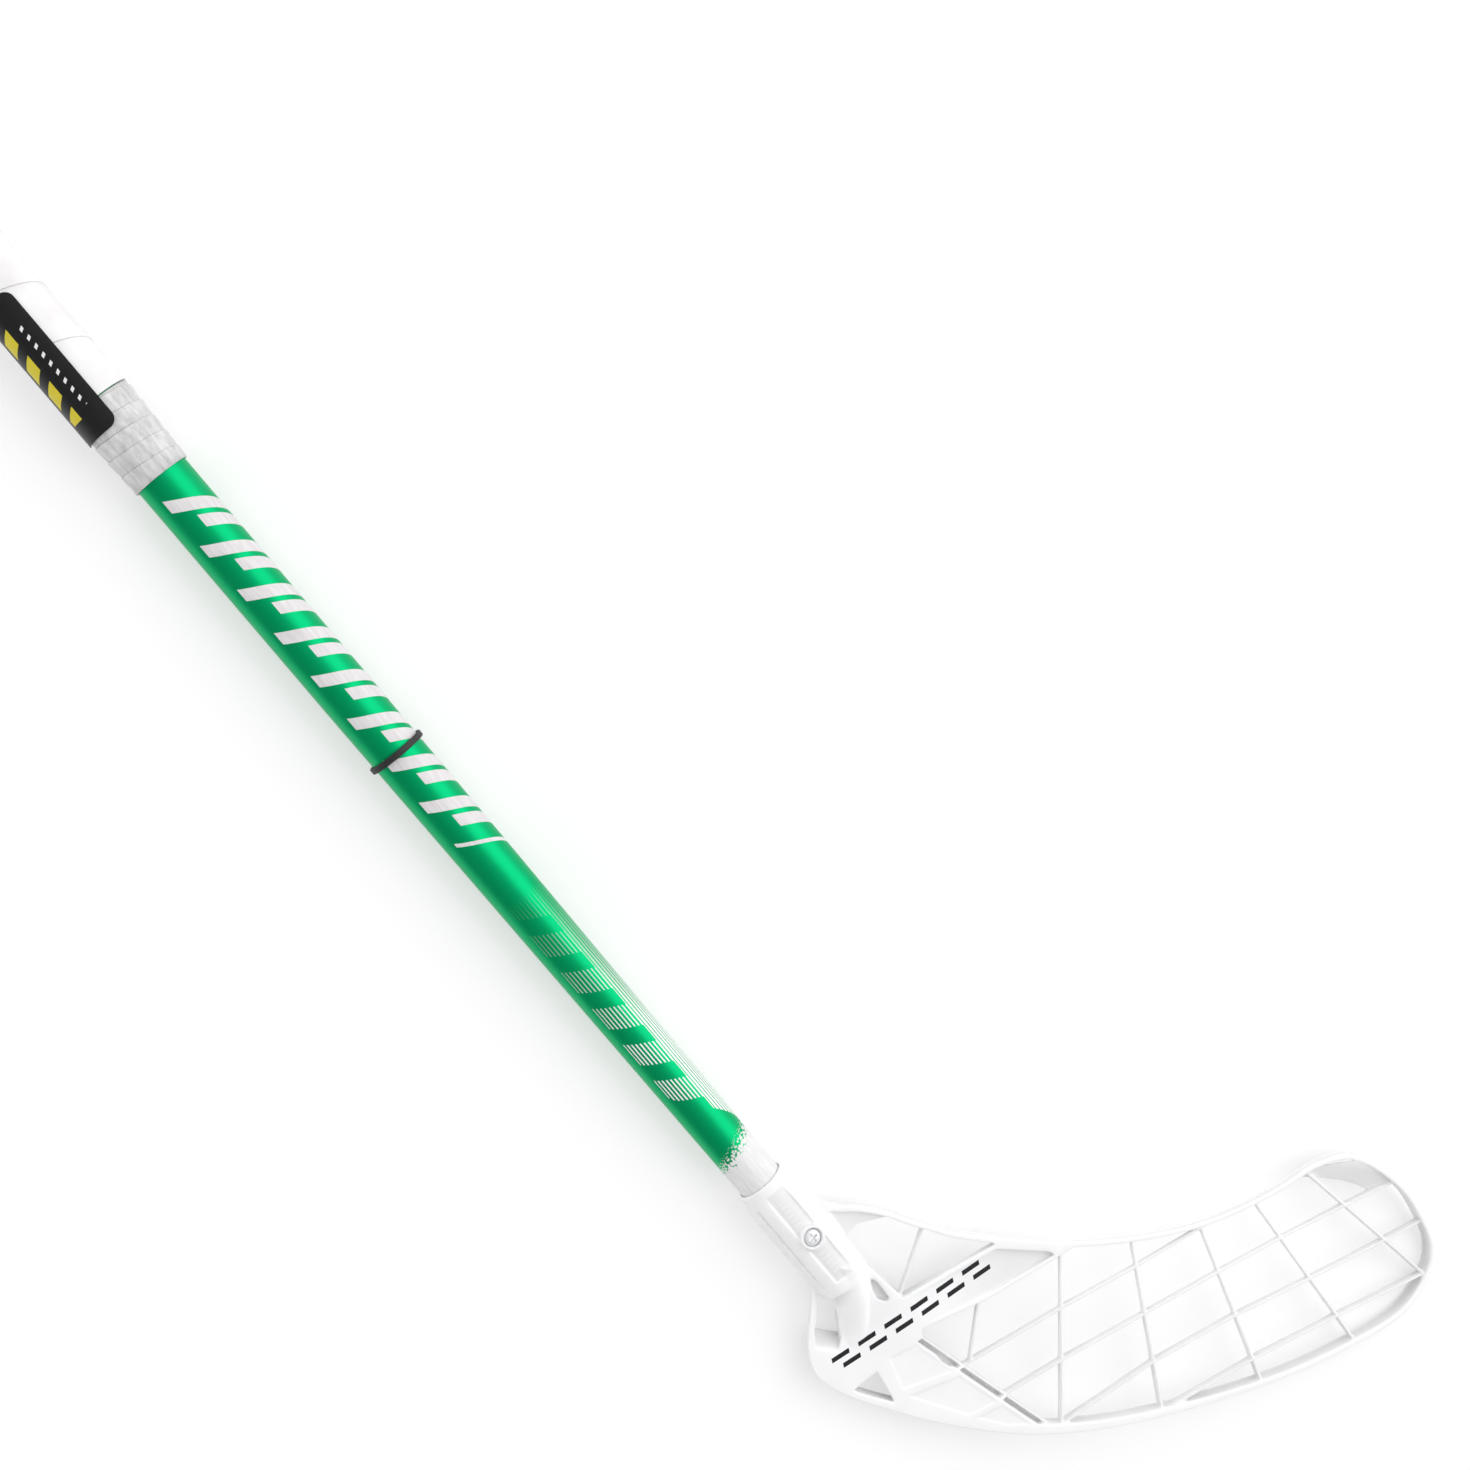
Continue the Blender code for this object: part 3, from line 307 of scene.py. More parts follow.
def spin(builder, angle, steps, **options):
    """Spin a profile round X."""
    bmesh.ops.spin(builder, geom=everything(builder), cent=(0.0, 0.0, 0.0),
                   axis=(1.0, 0.0, 0.0), angle=angle, steps=steps, **options)


def turned(profile, closed=False, sides=ROUND):
    """Round body about X from a profile of (x, radius)."""
    builder = trace(profile, closed)
    spin(builder, math.tau, sides, use_merge=True)
    bmesh.ops.remove_doubles(builder, verts=builder.verts, dist=0.000001)
    return builder


def rounded(profile, radius, steps=3):
    """Profile whose inner corners are replaced by round ones."""
    points = [Vector(point) for point in profile]
    result = [points[0]]
    for before, corner, after in zip(points, points[1:], points[2:]):
        reach = min(radius, (before - corner).length * 0.45, (after - corner).length * 0.45)
        start = corner + (before - corner).normalized() * reach
        end = corner + (after - corner).normalized() * reach
        for step in range(steps + 1):
            share = step / steps
            result.append(start.lerp(corner, share).lerp(corner.lerp(end, share), share))
    result.append(points[-1])
    return result


def shaft_radius(x):
    share = min(max(1.0 - x / TAPER_START, 0.0), 1.0)
    return SHAFT_RADIUS + share * (SHAFT_TIP_RADIUS - SHAFT_RADIUS)


def fill_holes(builder):
    border = [edge for edge in builder.edges if edge.is_boundary]
    bmesh.ops.holes_fill(builder, edges=border, sides=0)


def cut_off(builder, place, normal):
    """Cut a closed body along a plane, and close the part on the normal's side."""
    bmesh.ops.bisect_plane(builder, geom=everything(builder), dist=0.0000001, plane_co=place,
                           plane_no=normal, clear_inner=True)
    fill_holes(builder)


def plug(radius, low, high, sides=64):
    """Cylinder on the screw's line, between two distances from the shaft's axis."""
    builder = bmesh.new()
    middle = Matrix.Translation((0.0, 0.0, (low + high) / 2))
    bmesh.ops.create_cone(builder, cap_ends=True, segments=sides, radius1=radius,
                          radius2=radius, depth=high - low, matrix=SCREW @ middle)
    return add_mesh("plug", builder)


# The shaft with its grip, tape, label, cap and ring

def shaft_tube():
    outer = [(GRIP_HIGH, shaft_radius(GRIP_HIGH)), (TAPER_START, SHAFT_RADIUS),
             (0.0, SHAFT_TIP_RADIUS), (SHAFT_END, SHAFT_TIP_RADIUS)]
    inner = [(x, radius - SHAFT_WALL) for x, radius in reversed(outer)]
    tube = add_mesh("shaft", turned(outer + inner, closed=True))
    combine(tube, plug(SCREW_HOLE_RADIUS, 0.0, 0.02, sides=32), "DIFFERENCE")
    return tube


def wound(low, high, width, gap, thickness, rises, edge, steps=96):
    """One unbroken band wound round the shaft from low to high, trimmed square at both ends.

    One turn is spun, laid down again a pitch further on for every other turn, and welded.
    Its edges rise over its thickness, the one towards the blade first.
    """
    pitch = width + gap
    bottom = SHAFT_RADIUS + WRAP_FIT
    top = bottom + thickness
    start = low + pitch
    section = rounded([(start, bottom), (start, top + rises[0]),
                       (start - width, top + rises[1]), (start - width, bottom)], edge)
    builder = trace(section)
    spin(builder, math.tau, steps, dvec=(-pitch / steps, 0.0, 0.0))
    turn = everything(builder)
    for number in range(1, math.ceil((low - high) / pitch) + 1):
        again = bmesh.ops.duplicate(builder, geom=turn)["geom"]
        points = [item for item in again if isinstance(item, bmesh.types.BMVert)]
        bmesh.ops.translate(builder, verts=points, vec=(-pitch * number, 0.0, 0.0))
    bmesh.ops.remove_doubles(builder, verts=builder.verts, dist=0.00001)
    fill_holes(builder)
    cut_off(builder, (low, 0.0, 0.0), (-1.0, 0.0, 0.0))
    cut_off(builder, (high, 0.0, 0.0), (1.0, 0.0, 0.0))
    return builder


def grip_band():
    return add_mesh("grip", wound(GRIP_LOW, GRIP_HIGH, GRIP_WIDTH, GRIP_GAP, GRIP_THICKNESS,
                                  (GRIP_RISE, 0.0), GRIP_EDGE))


def finishing_tape():
    """Narrow tape, thicker where it lies on the grip's thinned end."""
    builder = wound(TAPE_LOW, TAPE_HIGH, TAPE_WIDTH, TAPE_GAP, TAPE_THICKNESS,
                    (0.0, TAPE_RISE), TAPE_EDGE)
    bottom = SHAFT_RADIUS + WRAP_FIT
    for vertex in builder.verts:
        share = (TAPE_LOW - vertex.co.x) / (TAPE_LOW - TAPE_HIGH)
        radius = vertex.co.yz.length
        lifted = bottom + (radius - bottom) * (1.0 + TAPE_GROWTH * share)
        vertex.co.y *= lifted / radius
        vertex.co.z *= lifted / radius
    return add_mesh("finishing_tape", builder)


def label():
    """Printed film with round corners, bent round the grip."""
    radius = SHAFT_RADIUS + WRAP_FIT + GRIP_THICKNESS + GRIP_RISE + LABEL_FIT
    start, end = LABEL_FROM * radius, LABEL_TO * radius
    builder = bmesh.new()
    bmesh.ops.create_grid(builder, x_segments=1, y_segments=1, size=0.5)
    bmesh.ops.transform(builder, verts=builder.verts, matrix=Matrix.Translation(
        ((LABEL_LOW + LABEL_HIGH) / 2, (start + end) / 2, 0.0)) @ Matrix.Diagonal(
        (LABEL_LOW - LABEL_HIGH, end - start, 1.0, 1.0)))
    bmesh.ops.bevel(builder, geom=builder.verts[:], affect="VERTICES", offset=LABEL_CORNER,
                    segments=8, profile=0.5, material=-1)
    columns = 48
    for column in range(1, columns):
        bmesh.ops.bisect_plane(builder, geom=everything(builder), dist=0.0000001,
                               plane_co=(0.0, start + (end - start) * column / columns, 0.0),
                               plane_no=(0.0, 1.0, 0.0))
    bmesh.ops.solidify(builder, geom=builder.faces[:], thickness=LABEL_THICKNESS)
    for vertex in builder.verts:
        angle = vertex.co.y / radius
        height = radius + abs(vertex.co.z)
        vertex.co.y = -math.sin(angle) * height
        vertex.co.z = math.cos(angle) * height
    return add_mesh("label", builder)


def end_cap():
    """Butt cap with a round edge, a shallow ring in its end and a hollow plug."""
    flange = SHAFT_RADIUS + WRAP_FIT + GRIP_THICKNESS + CAP_LIP
    outside = SHAFT_RADIUS - SHAFT_WALL - CAP_FIT
    inside = outside - CAP_PLUG_WALL
    deep = CAP_RING_DEPTH - CAP_FLANGE
    profile = [(-CAP_FLANGE, 0.0), (-CAP_FLANGE, CAP_RING[0]),
               (deep, CAP_RING[0] + CAP_RING_DEPTH), (deep, CAP_RING[1] - CAP_RING_DEPTH),
               (-CAP_FLANGE, CAP_RING[1]), (-CAP_FLANGE, flange), (0.0, flange),
               (0.0, outside), (CAP_PLUG_LENGTH, outside - CAP_FIT),
               (CAP_PLUG_LENGTH, inside), (CAP_PLUG_WALL, inside), (CAP_PLUG_WALL, 0.0)]
    smooth = rounded(profile[:5], 0.0003) + rounded(profile[4:7], CAP_EDGE, 6)[1:]
    smooth += rounded(profile[6:], 0.0003)[1:]
    builder = turned(smooth)
    bmesh.ops.translate(builder, verts=builder.verts, vec=(GRIP_HIGH - CAP_FIT, 0.0, 0.0))
    return add_mesh("end_cap", builder)


def rubber_ring():
    """Rubber band with a rounded section."""
    inner = SHAFT_RADIUS + RING_GAP
    outer = inner + RING_THICKNESS
    half = RING_WIDTH / 2
    builder = turned(rounded([(0.0, inner), (-half, inner), (-half, outer), (half, outer),
                              (half, inner), (0.0, inner)], RING_EDGE, 4))
    bmesh.ops.translate(builder, verts=builder.verts, vec=(RING_PLACE, 0.0, 0.0))
    return add_mesh("rubber_ring", builder)


# The blade, made flat first

def smooth_loop(points, steps):
    """Closed curve through the points, with a number of steps between each two."""
    count = len(points)
    curve = []
    for index in range(count):
        before, start, end, after = (Vector(points[(index + k - 1) % count]) for k in range(4))
        for step in range(steps):
            t = step / steps
            curve.append(0.5 * ((2 * start) + (end - before) * t
                                + (2 * before - 5 * start + 4 * end - after) * t ** 2
                                + (3 * start - before - 3 * end + after) * t ** 3))
    return curve


def inside_rim(curve, share):
    """The outline moved in by a share of the rim's width."""
    count = len(curve)
    loop = []
    for index, point in enumerate(curve):
        ahead = (curve[(index + 1) % count].xy - curve[index - 1].xy).normalized()
        loop.append(point.xy + Vector((-ahead.y, ahead.x)) * point.z * share)
    return loop


def block(points, low, high):
    """Body on a flat outline, between two heights."""
    builder = bmesh.new()
    builder.faces.new([builder.verts.new((point[0], point[1], low)) for point in points])
    grown = bmesh.ops.extrude_face_region(builder, geom=builder.faces[:])
    moved = [item for item in grown["geom"] if isinstance(item, bmesh.types.BMVert)]
    bmesh.ops.translate(builder, verts=moved, vec=(0.0, 0.0, high - low))
    return builder


def opening(inside, *lines):
    """Cutter for an opening: the inside of the rim to the left of each (line, distance)."""
    builder = block(inside, -0.01, 0.01)
    for (start, end), keep_off in lines:
        ahead = (Vector(end) - Vector(start)).normalized()
        left = Vector((-ahead.y, ahead.x, 0.0))
        cut_off(builder, Vector((*start, 0.0)) + left * keep_off, left)
    return add_mesh("opening", builder)


def crossings(loop, start, end):
    """The stretch of the line from start to end that lies inside a loop."""
    ahead = (end - start).normalized()
    side = Vector((-ahead.y, ahead.x))
    first, last = 0.0, (end - start).length
    for one, other in zip(loop, loop[1:] + loop[:1]):
        a, b = (one - start).dot(side), (other - start).dot(side)
        if a * b < 0.0:
            reach = (one.lerp(other, a / (a - b)) - start).dot(ahead)
            if reach < (end - start).length / 2:
                first = max(first, reach)
            else:
                last = min(last, reach)
    return start + ahead * first, start + ahead * last


def bar(builder, start, end, width, depth):
    """Rib between two points of the blade's plane, widest in the middle of its depth."""
    run = end - start
    shape = (Matrix.Translation((*((start + end) / 2), 0.0))
             @ Matrix.Rotation(math.atan2(run.y, run.x), 4, "Z")
             @ Matrix.Diagonal((run.length, width, depth, 1.0))
             @ Matrix.Rotation(math.pi / 2, 4, "Y"))
    bmesh.ops.create_cone(builder, cap_ends=True, segments=8, radius1=0.5, radius2=0.5,
                          depth=1.0, matrix=shape)


def ribs(mid_rim):
    """All ribs as bars; the long ones run on through the cross ribs.

    The rib beside the plate's edge leaves a narrow slot with a thin floor and two bridges.
    """
    builder = bmesh.new()
    lines = CROSS_RIBS + FOOT_RIBS
    for points in LONG_RIBS:
        lines = lines + list(zip(points, points[1:]))
    for start, end in lines:
        start, end = crossings(mid_rim, Vector(start), Vector(end))
        bar(builder, start, end, RIB_WIDTH, RIB_DEPTH)
    start, end = Vector(PLATE_EDGE[0]), Vector(PLATE_EDGE[1])
    ahead = (end - start).normalized()
    left = Vector((-ahead.y, ahead.x))
    shift = left * (SLOT_WIDTH + SLOT_RIB_WIDTH / 2)
    run_on = ahead * SLOT_RUN_ON
    first, last = crossings(mid_rim, start + shift - run_on, end + shift)
    bar(builder, first, last, SLOT_RIB_WIDTH, RIB_DEPTH)
    shift = left * (SLOT_WIDTH / 2)
    first, last = crossings(mid_rim, start + shift - run_on, end + shift)
    size = ((last - first).length, SLOT_WIDTH + 0.001, SLOT_FLOOR_DEPTH, 1.0)
    thin = (Matrix.Translation((*((first + last) / 2), SLOT_FLOOR))
            @ Matrix.Rotation(math.atan2(ahead.y, ahead.x), 4, "Z") @ Matrix.Diagonal(size))
    bmesh.ops.create_cube(builder, size=1.0, matrix=thin)
    reach = Vector(BRIDGE_REACH)
    for place in SLOT_BRIDGES:
        bar(builder, Vector(place) - reach, Vector(place) + reach, RIB_WIDTH, BRIDGE_DEPTH)
    return add_mesh("ribs", builder)


def flat_frame(curve):
    """Rim and foot with their openings and the sunk pocket."""
    outline = [point.xy for point in curve]
    inside = inside_rim(curve, 1.0)
    plate = add_mesh("blade", block(outline, -BLADE_DEPTH / 2, BLADE_DEPTH / 2))
    cell = list(zip(HEEL_CELL, HEEL_CELL[1:]))
    cutters = [
        opening(inside, (BAND_TOP, 0.0), (NECK_RIGHT, 0.0), (NECK_CORNER, 0.0)),
        opening(inside, (PLATE_EDGE, 0.0), (BAND_TIP, 0.0)),
        opening(inside, (PLATE_HEEL, 0.0), (BAND_HEEL, 0.0015)),
        opening(inside, *[(side, 0.0) for side in cell]),
        add_mesh("bend", block(BAND_BEND, -0.01, 0.01)),
        add_mesh("wedge", block(WEDGE, 0.0006, 0.01)),
        add_mesh("slot_pocket", block(SLOT_POCKET, -0.001, 0.01)),
    ]
    surface = BLADE_DEPTH / 2
    cutters += [add_mesh("panel", block(panel, surface - PANEL_CUT, 0.01)) for panel in PANELS]
    for cutter in cutters:
        combine(plate, cutter, "DIFFERENCE")
    for corners in (POCKET, HEEL_RAMP):
        sunk = block(corners, 0.0, 2 * BLADE_DEPTH)
        for vertex in sunk.verts:
            if vertex.co.z < 0.001:
                depth = min(corners, key=lambda p: (Vector(p[:2]) - vertex.co.xy).length)[2]
                vertex.co.z = surface - depth
        combine(plate, add_mesh("sunk", sunk), "DIFFERENCE")
    return plate


def strip(middle, width, depth, start):
    """Cutter that takes an even depth off the hosel, in degrees round it from the screw."""
    half = math.asin(width / 2 / HOSEL_RADIUS)
    low, high = HOSEL_RADIUS - depth, HOSEL_RADIUS + depth
    builder = trace([(start, low), (PANEL_END, low), (PANEL_END, high), (start, high)])
    turn = Matrix.Rotation(-SCREW_TURN - math.radians(middle) - half, 4, "X")
    bmesh.ops.transform(builder, verts=builder.verts, matrix=turn)
    spin(builder, 2 * half, 12)
    fill_holes(builder)
    return add_mesh("strip", builder)


def neck():
    """Neck that grows out of the hosel's crown and runs down into the foot."""
    builder = bmesh.new()
    loops = []
    end_radius = BORE_RADIUS + HOSEL_WALL
    for u, v, width, share in NECK_SECTIONS:
        thickness = end_radius + share * (BLADE_DEPTH / 2 - end_radius)
        ring = bmesh.ops.create_circle(builder, segments=64, radius=1.0)["verts"]
        for vertex in ring:
            x, y = vertex.co.xy
            wide = math.copysign(abs(x) ** NECK_ROUNDNESS, x) * width
            high = math.copysign(abs(y) ** NECK_ROUNDNESS, y) * thickness
            vertex.co = BLADE @ Vector((u + wide, v, high))
        loops.append([edge for edge in builder.edges if edge.verts[0] in ring])
    for one, other in zip(loops, loops[1:]):
        bmesh.ops.bridge_loops(builder, edges=one + other)
    fill_holes(builder)
    return add_mesh("neck", builder)


def hosel():
    """Socket for the shaft with its panel, grooves, neck and screw boss."""
    profile = [(0.0, 0.0), (0.0, MOUTH_RADIUS - MOUTH_EDGE), (MOUTH_EDGE, MOUTH_RADIUS)]
    for step in range(1, 9):
        share = step / 8
        growth = math.sin(share * math.pi / 2) * (HOSEL_RADIUS - MOUTH_RADIUS)
        profile.append((MOUTH_SHOULDER * share, MOUTH_RADIUS + growth))
    profile += [((MOUTH_SHOULDER + 2 * HOSEL_LENGTH) / 3, HOSEL_RADIUS),
                (HOSEL_LENGTH, BORE_RADIUS + HOSEL_WALL), (HOSEL_LENGTH, 0.0)]
    body = add_mesh("hosel", turned(profile))
    combine(body, strip(0.0, PANEL_WIDTH, PANEL_DEPTH, PANEL_START), "DIFFERENCE")
    for side in (-GROOVE_TURN, GROOVE_TURN):
        combine(body, strip(side, GROOVE_WIDTH, PANEL_DEPTH, GROOVE_START), "DIFFERENCE")
    combine(body, neck(), "UNION")
    boss_top = HOSEL_RADIUS + BOSS_HEIGHT
    far_out = 2 * HOSEL_RADIUS
    combine(body, plug(SEAT_RADIUS + BOSS_RIM, BORE_RADIUS, boss_top), "UNION")
    combine(body, plug(SEAT_RADIUS, HOSEL_RADIUS - SEAT_DEPTH, far_out), "DIFFERENCE")
    combine(body, plug(SCREW_HOLE_RADIUS, 0.0, far_out), "DIFFERENCE")
    return body


def socket():
    """Body that fills the hosel's bore and the space before its mouth."""
    end = HOSEL_LENGTH - HOSEL_FLOOR
    return add_mesh("socket", turned([(-HOSEL_LENGTH, 0.0), (-HOSEL_LENGTH, BORE_RADIUS),
                                      (end, BORE_RADIUS), (end, 0.0)]))


def between(value, start, end):
    return min(max((value - start) / (end - start), 0.0), 1.0)


def depth_left(u, v):
    """Share of the blade's depth that is left at a point; it is thinner by its top edge."""
    shares = [between(value, *ends) for value, ends in zip((u, v, u), TOP_STRETCHES)]
    return 1.0 - TOP_THINNING * math.prod(shares)


def bent(point):
    """Where the hook takes a point of the flat blade."""
    reach = HOOK_END - HOOK_START
    past = max(0.0, point.x - HOOK_START) / reach
    slope = 2 * HOOK_DEPTH * past / reach
    normal = Vector((slope, 0.0, 1.0)).normalized()
    height = point.z * depth_left(point.x, point.y)
    return Vector((point.x, point.y, -HOOK_DEPTH * past ** 2)) + normal * height


def web(corners, depth, low=0.0, slope=0.0):
    """Web between its corners, which may slope up from the line of its two end corners."""
    start = Vector(corners[0])
    run = (Vector(corners[4]) - start).normalized()
    out = Vector((-run.y, run.x)) * slope
    shape = block(corners, -depth / 2, depth / 2)
    for vertex in shape.verts:
        vertex.co.z += low + (vertex.co.xy - start).dot(out)
    return add_mesh("web", shape)


def blade():
    """One moulding: rim, ribs, webs, foot, neck, hosel and boss, fused with small fillets."""
    curve = smooth_loop(OUTLINE, 6)
    parts = [flat_frame(curve), web(TIP_WEB, TIP_WEB_DEPTH, TIP_WEB_LOW, TIP_WEB_SLOPE),
             web(NECK_WEB, NECK_WEB_DEPTH), ribs(inside_rim(curve, 0.5))]
    for part in parts:
        part.data.transform(BLADE)
    parts.append(hosel())
    # the shaft's way is cut through the foot, the neck's web and the hosel
    for part in (parts[0], parts[2], parts[4]):
        combine(part, socket(), "DIFFERENCE")
    joined = bmesh.new()
    for part in parts:
        joined.from_mesh(part.data)
        bpy.data.objects.remove(part)
    bmesh.ops.transform(joined, verts=joined.verts, matrix=BLADE.inverted())
    whole = add_mesh("blade", joined)
    fuse = whole.modifiers.new("fuse", "REMESH")
    fuse.mode = "VOXEL"
    fuse.voxel_size = VOXEL
    apply_modifiers(whole)
    for name, times, group in (("soften", 3, ""), ("fillet", 40, neck_group(whole))):
        smooth = whole.modifiers.new(name, "SMOOTH")
        smooth.factor = 0.5
        smooth.iterations = times
        smooth.vertex_group = group
    thin_out(whole)
    for vertex in whole.data.vertices:
        vertex.co = BLADE @ bent(vertex.co)
    return whole


def neck_group(whole):
    """Group of the points that stand out of the foot by the hosel, for the wide fillets."""
    group = whole.vertex_groups.new(name="neck")
    for vertex in whole.data.vertices:
        x = (BLADE @ vertex.co).x
        out = (abs(vertex.co.z) - BLADE_DEPTH / 2) / FILLET_RISE
        past = (x - HOSEL_LENGTH + FILLET_START) / FILLET_RUN
        weight = min(1.0, max(0.0, out), max(0.0, past))
        if weight > 0.0:
            group.add([vertex.index], weight, "REPLACE")
    return group.name


def thin_out(whole):
    """Apply the modifiers, and one that leaves no more triangles than TRIANGLES."""
    bpy.context.view_layer.update()
    shape = whole.evaluated_get(bpy.context.evaluated_depsgraph_get())
    triangles = sum(len(face.vertices) - 2 for face in shape.data.polygons)
    thin = whole.modifiers.new("thin", "DECIMATE")
    thin.ratio = min(1.0, TRIANGLES / triangles)
    apply_modifiers(whole)


def screw():
    """Round-headed screw with a cross in its head and a thread."""
    head = [(0.0, 0.0), (0.0, 0.0035), (0.0003, 0.0035), (0.0009, 0.0033), (0.0014, 0.0027),
            (0.0017, 0.0017), (0.00175, 0.0)]
    body = add_mesh("screw", turned(head, sides=64))
    for turn in (0.0, math.pi / 2):
        cross = bmesh.new()
        bmesh.ops.create_cube(cross, size=1.0, matrix=Matrix.Translation((0.0017, 0.0, 0.0))
                              @ Matrix.Rotation(turn, 4, "X")
                              @ Matrix.Diagonal((0.002, 0.0040, 0.0010, 1.0)))
        bmesh.ops.bevel(cross, geom=cross.edges[:], affect="EDGES", offset=0.0002, segments=2,
                        profile=0.5, material=-1)
        combine(body, add_mesh("cross", cross), "DIFFERENCE")
    shank = turned([(0.0001, 0.0), (0.0001, 0.0014), (-0.0070, 0.0014), (-0.0090, 0.0002),
                    (-0.0090, 0.0)], sides=32)
    combine(body, add_mesh("shank", shank), "UNION")
    ridge = trace([(-0.0012, 0.0012), (-0.0009, 0.0020), (-0.0006, 0.0012)])
    spin(ridge, math.tau * THREAD_TURNS, 32 * THREAD_TURNS,
         dvec=(-THREAD_PITCH / 32, 0.0, 0.0))
    fill_holes(ridge)
    combine(body, add_mesh("ridge", ridge), "UNION")
    lift = Matrix.Translation((0.0, 0.0, HOSEL_RADIUS - SEAT_DEPTH + 0.0003))
    body.data.transform(SCREW @ lift @ Matrix.Rotation(-math.pi / 2, 4, "Y"))
    return body


# Finishes

def put(tree, node, name, source):
    """Set a node's input, or link it to another node."""
    if isinstance(source, bpy.types.NodeSocket):
        tree.links.new(source, node.inputs[name])
    else:
        node.inputs[name].default_value = source


def add_node(tree, kind, *sources, operation=None, **named):
    """Node whose inputs are given in their order or by name."""
    node = tree.nodes.new("ShaderNode" + kind)
    if operation:
        node.operation = operation
    for index, source in enumerate(sources):
        put(tree, node, index, source)
    for name, source in named.items():
        put(tree, node, name.replace("_", " "), source)
    return node


class Finish:
    """A Principled material whose patterns read the stick's own frame."""

    def __init__(self, name, colour, roughness, **values):
        self.material = bpy.data.materials.new(name)
        self.material.use_nodes = True
        self.tree = self.material.node_tree
        self.shader = self.tree.nodes["Principled BSDF"]
        self.set("Base Color", (*colour, 1.0))
        self.set("Roughness", roughness)
        for name, value in values.items():
            self.set(name.replace("_", " "), value)
        self.place = self.seen_from(self.add("TexCoord").outputs["Object"], STICK)

    def set(self, name, source):
        put(self.tree, self.shader, name, source)

    def add(self, kind, *sources, **named):
        return add_node(self.tree, kind, *sources, **named)

    def seen_from(self, place, where):
        """A place in the coordinates of a frame."""
        back = where.inverted()
        return self.add("Mapping", Vector=place, Location=back.to_translation(),
                        Rotation=back.to_euler()).outputs[0]

    def math(self, operation, *sources, clamp=False):
        node = self.add("Math", *sources, operation=operation)
        node.use_clamp = clamp
        return node.outputs[0]

    def axes(self, place=None):
        return self.add("SeparateXYZ", place or self.place).outputs

    def all_of(self, *masks):
        result = masks[0]
        for mask in masks[1:]:
            result = self.math("MULTIPLY", result, mask)
        return result

    def between(self, value, low, high):
        """1 where a value lies between two edges."""
        return self.all_of(self.math("GREATER_THAN", value, low),
                           self.math("LESS_THAN", value, high))

    def ramp(self, value, low, high, start=0.0, end=1.0):
        return self.add("MapRange", value, low, high, start, end).outputs[0]

    def noise(self, scale, detail=3.0, roughness=0.5, stretch=None):
        place = self.place
        if stretch:
            place = self.add("Mapping", Vector=place, Scale=stretch).outputs[0]
        return self.add("TexNoise", Vector=place, Scale=scale, Detail=detail,
                        Roughness=roughness).outputs[0]

    def mix(self, share, one, other):
        node = self.add("Mix", share)
        node.data_type = "RGBA"
        for index, source in ((6, one), (7, other)):
            if isinstance(source, tuple):
                source = (*source, 1.0)
            put(self.tree, node, index, source)
        return node.outputs[2]

    def bump(self, *heights):
        """Bumps given as (height in metres, pattern), laid over each other."""
        below = {}
        for height, pattern in heights:
            node = self.add("Bump", Strength=1.0, Distance=height, Height=pattern, **below)
            below = {"Normal": node.outputs[0]}
        self.set("Normal", below["Normal"])


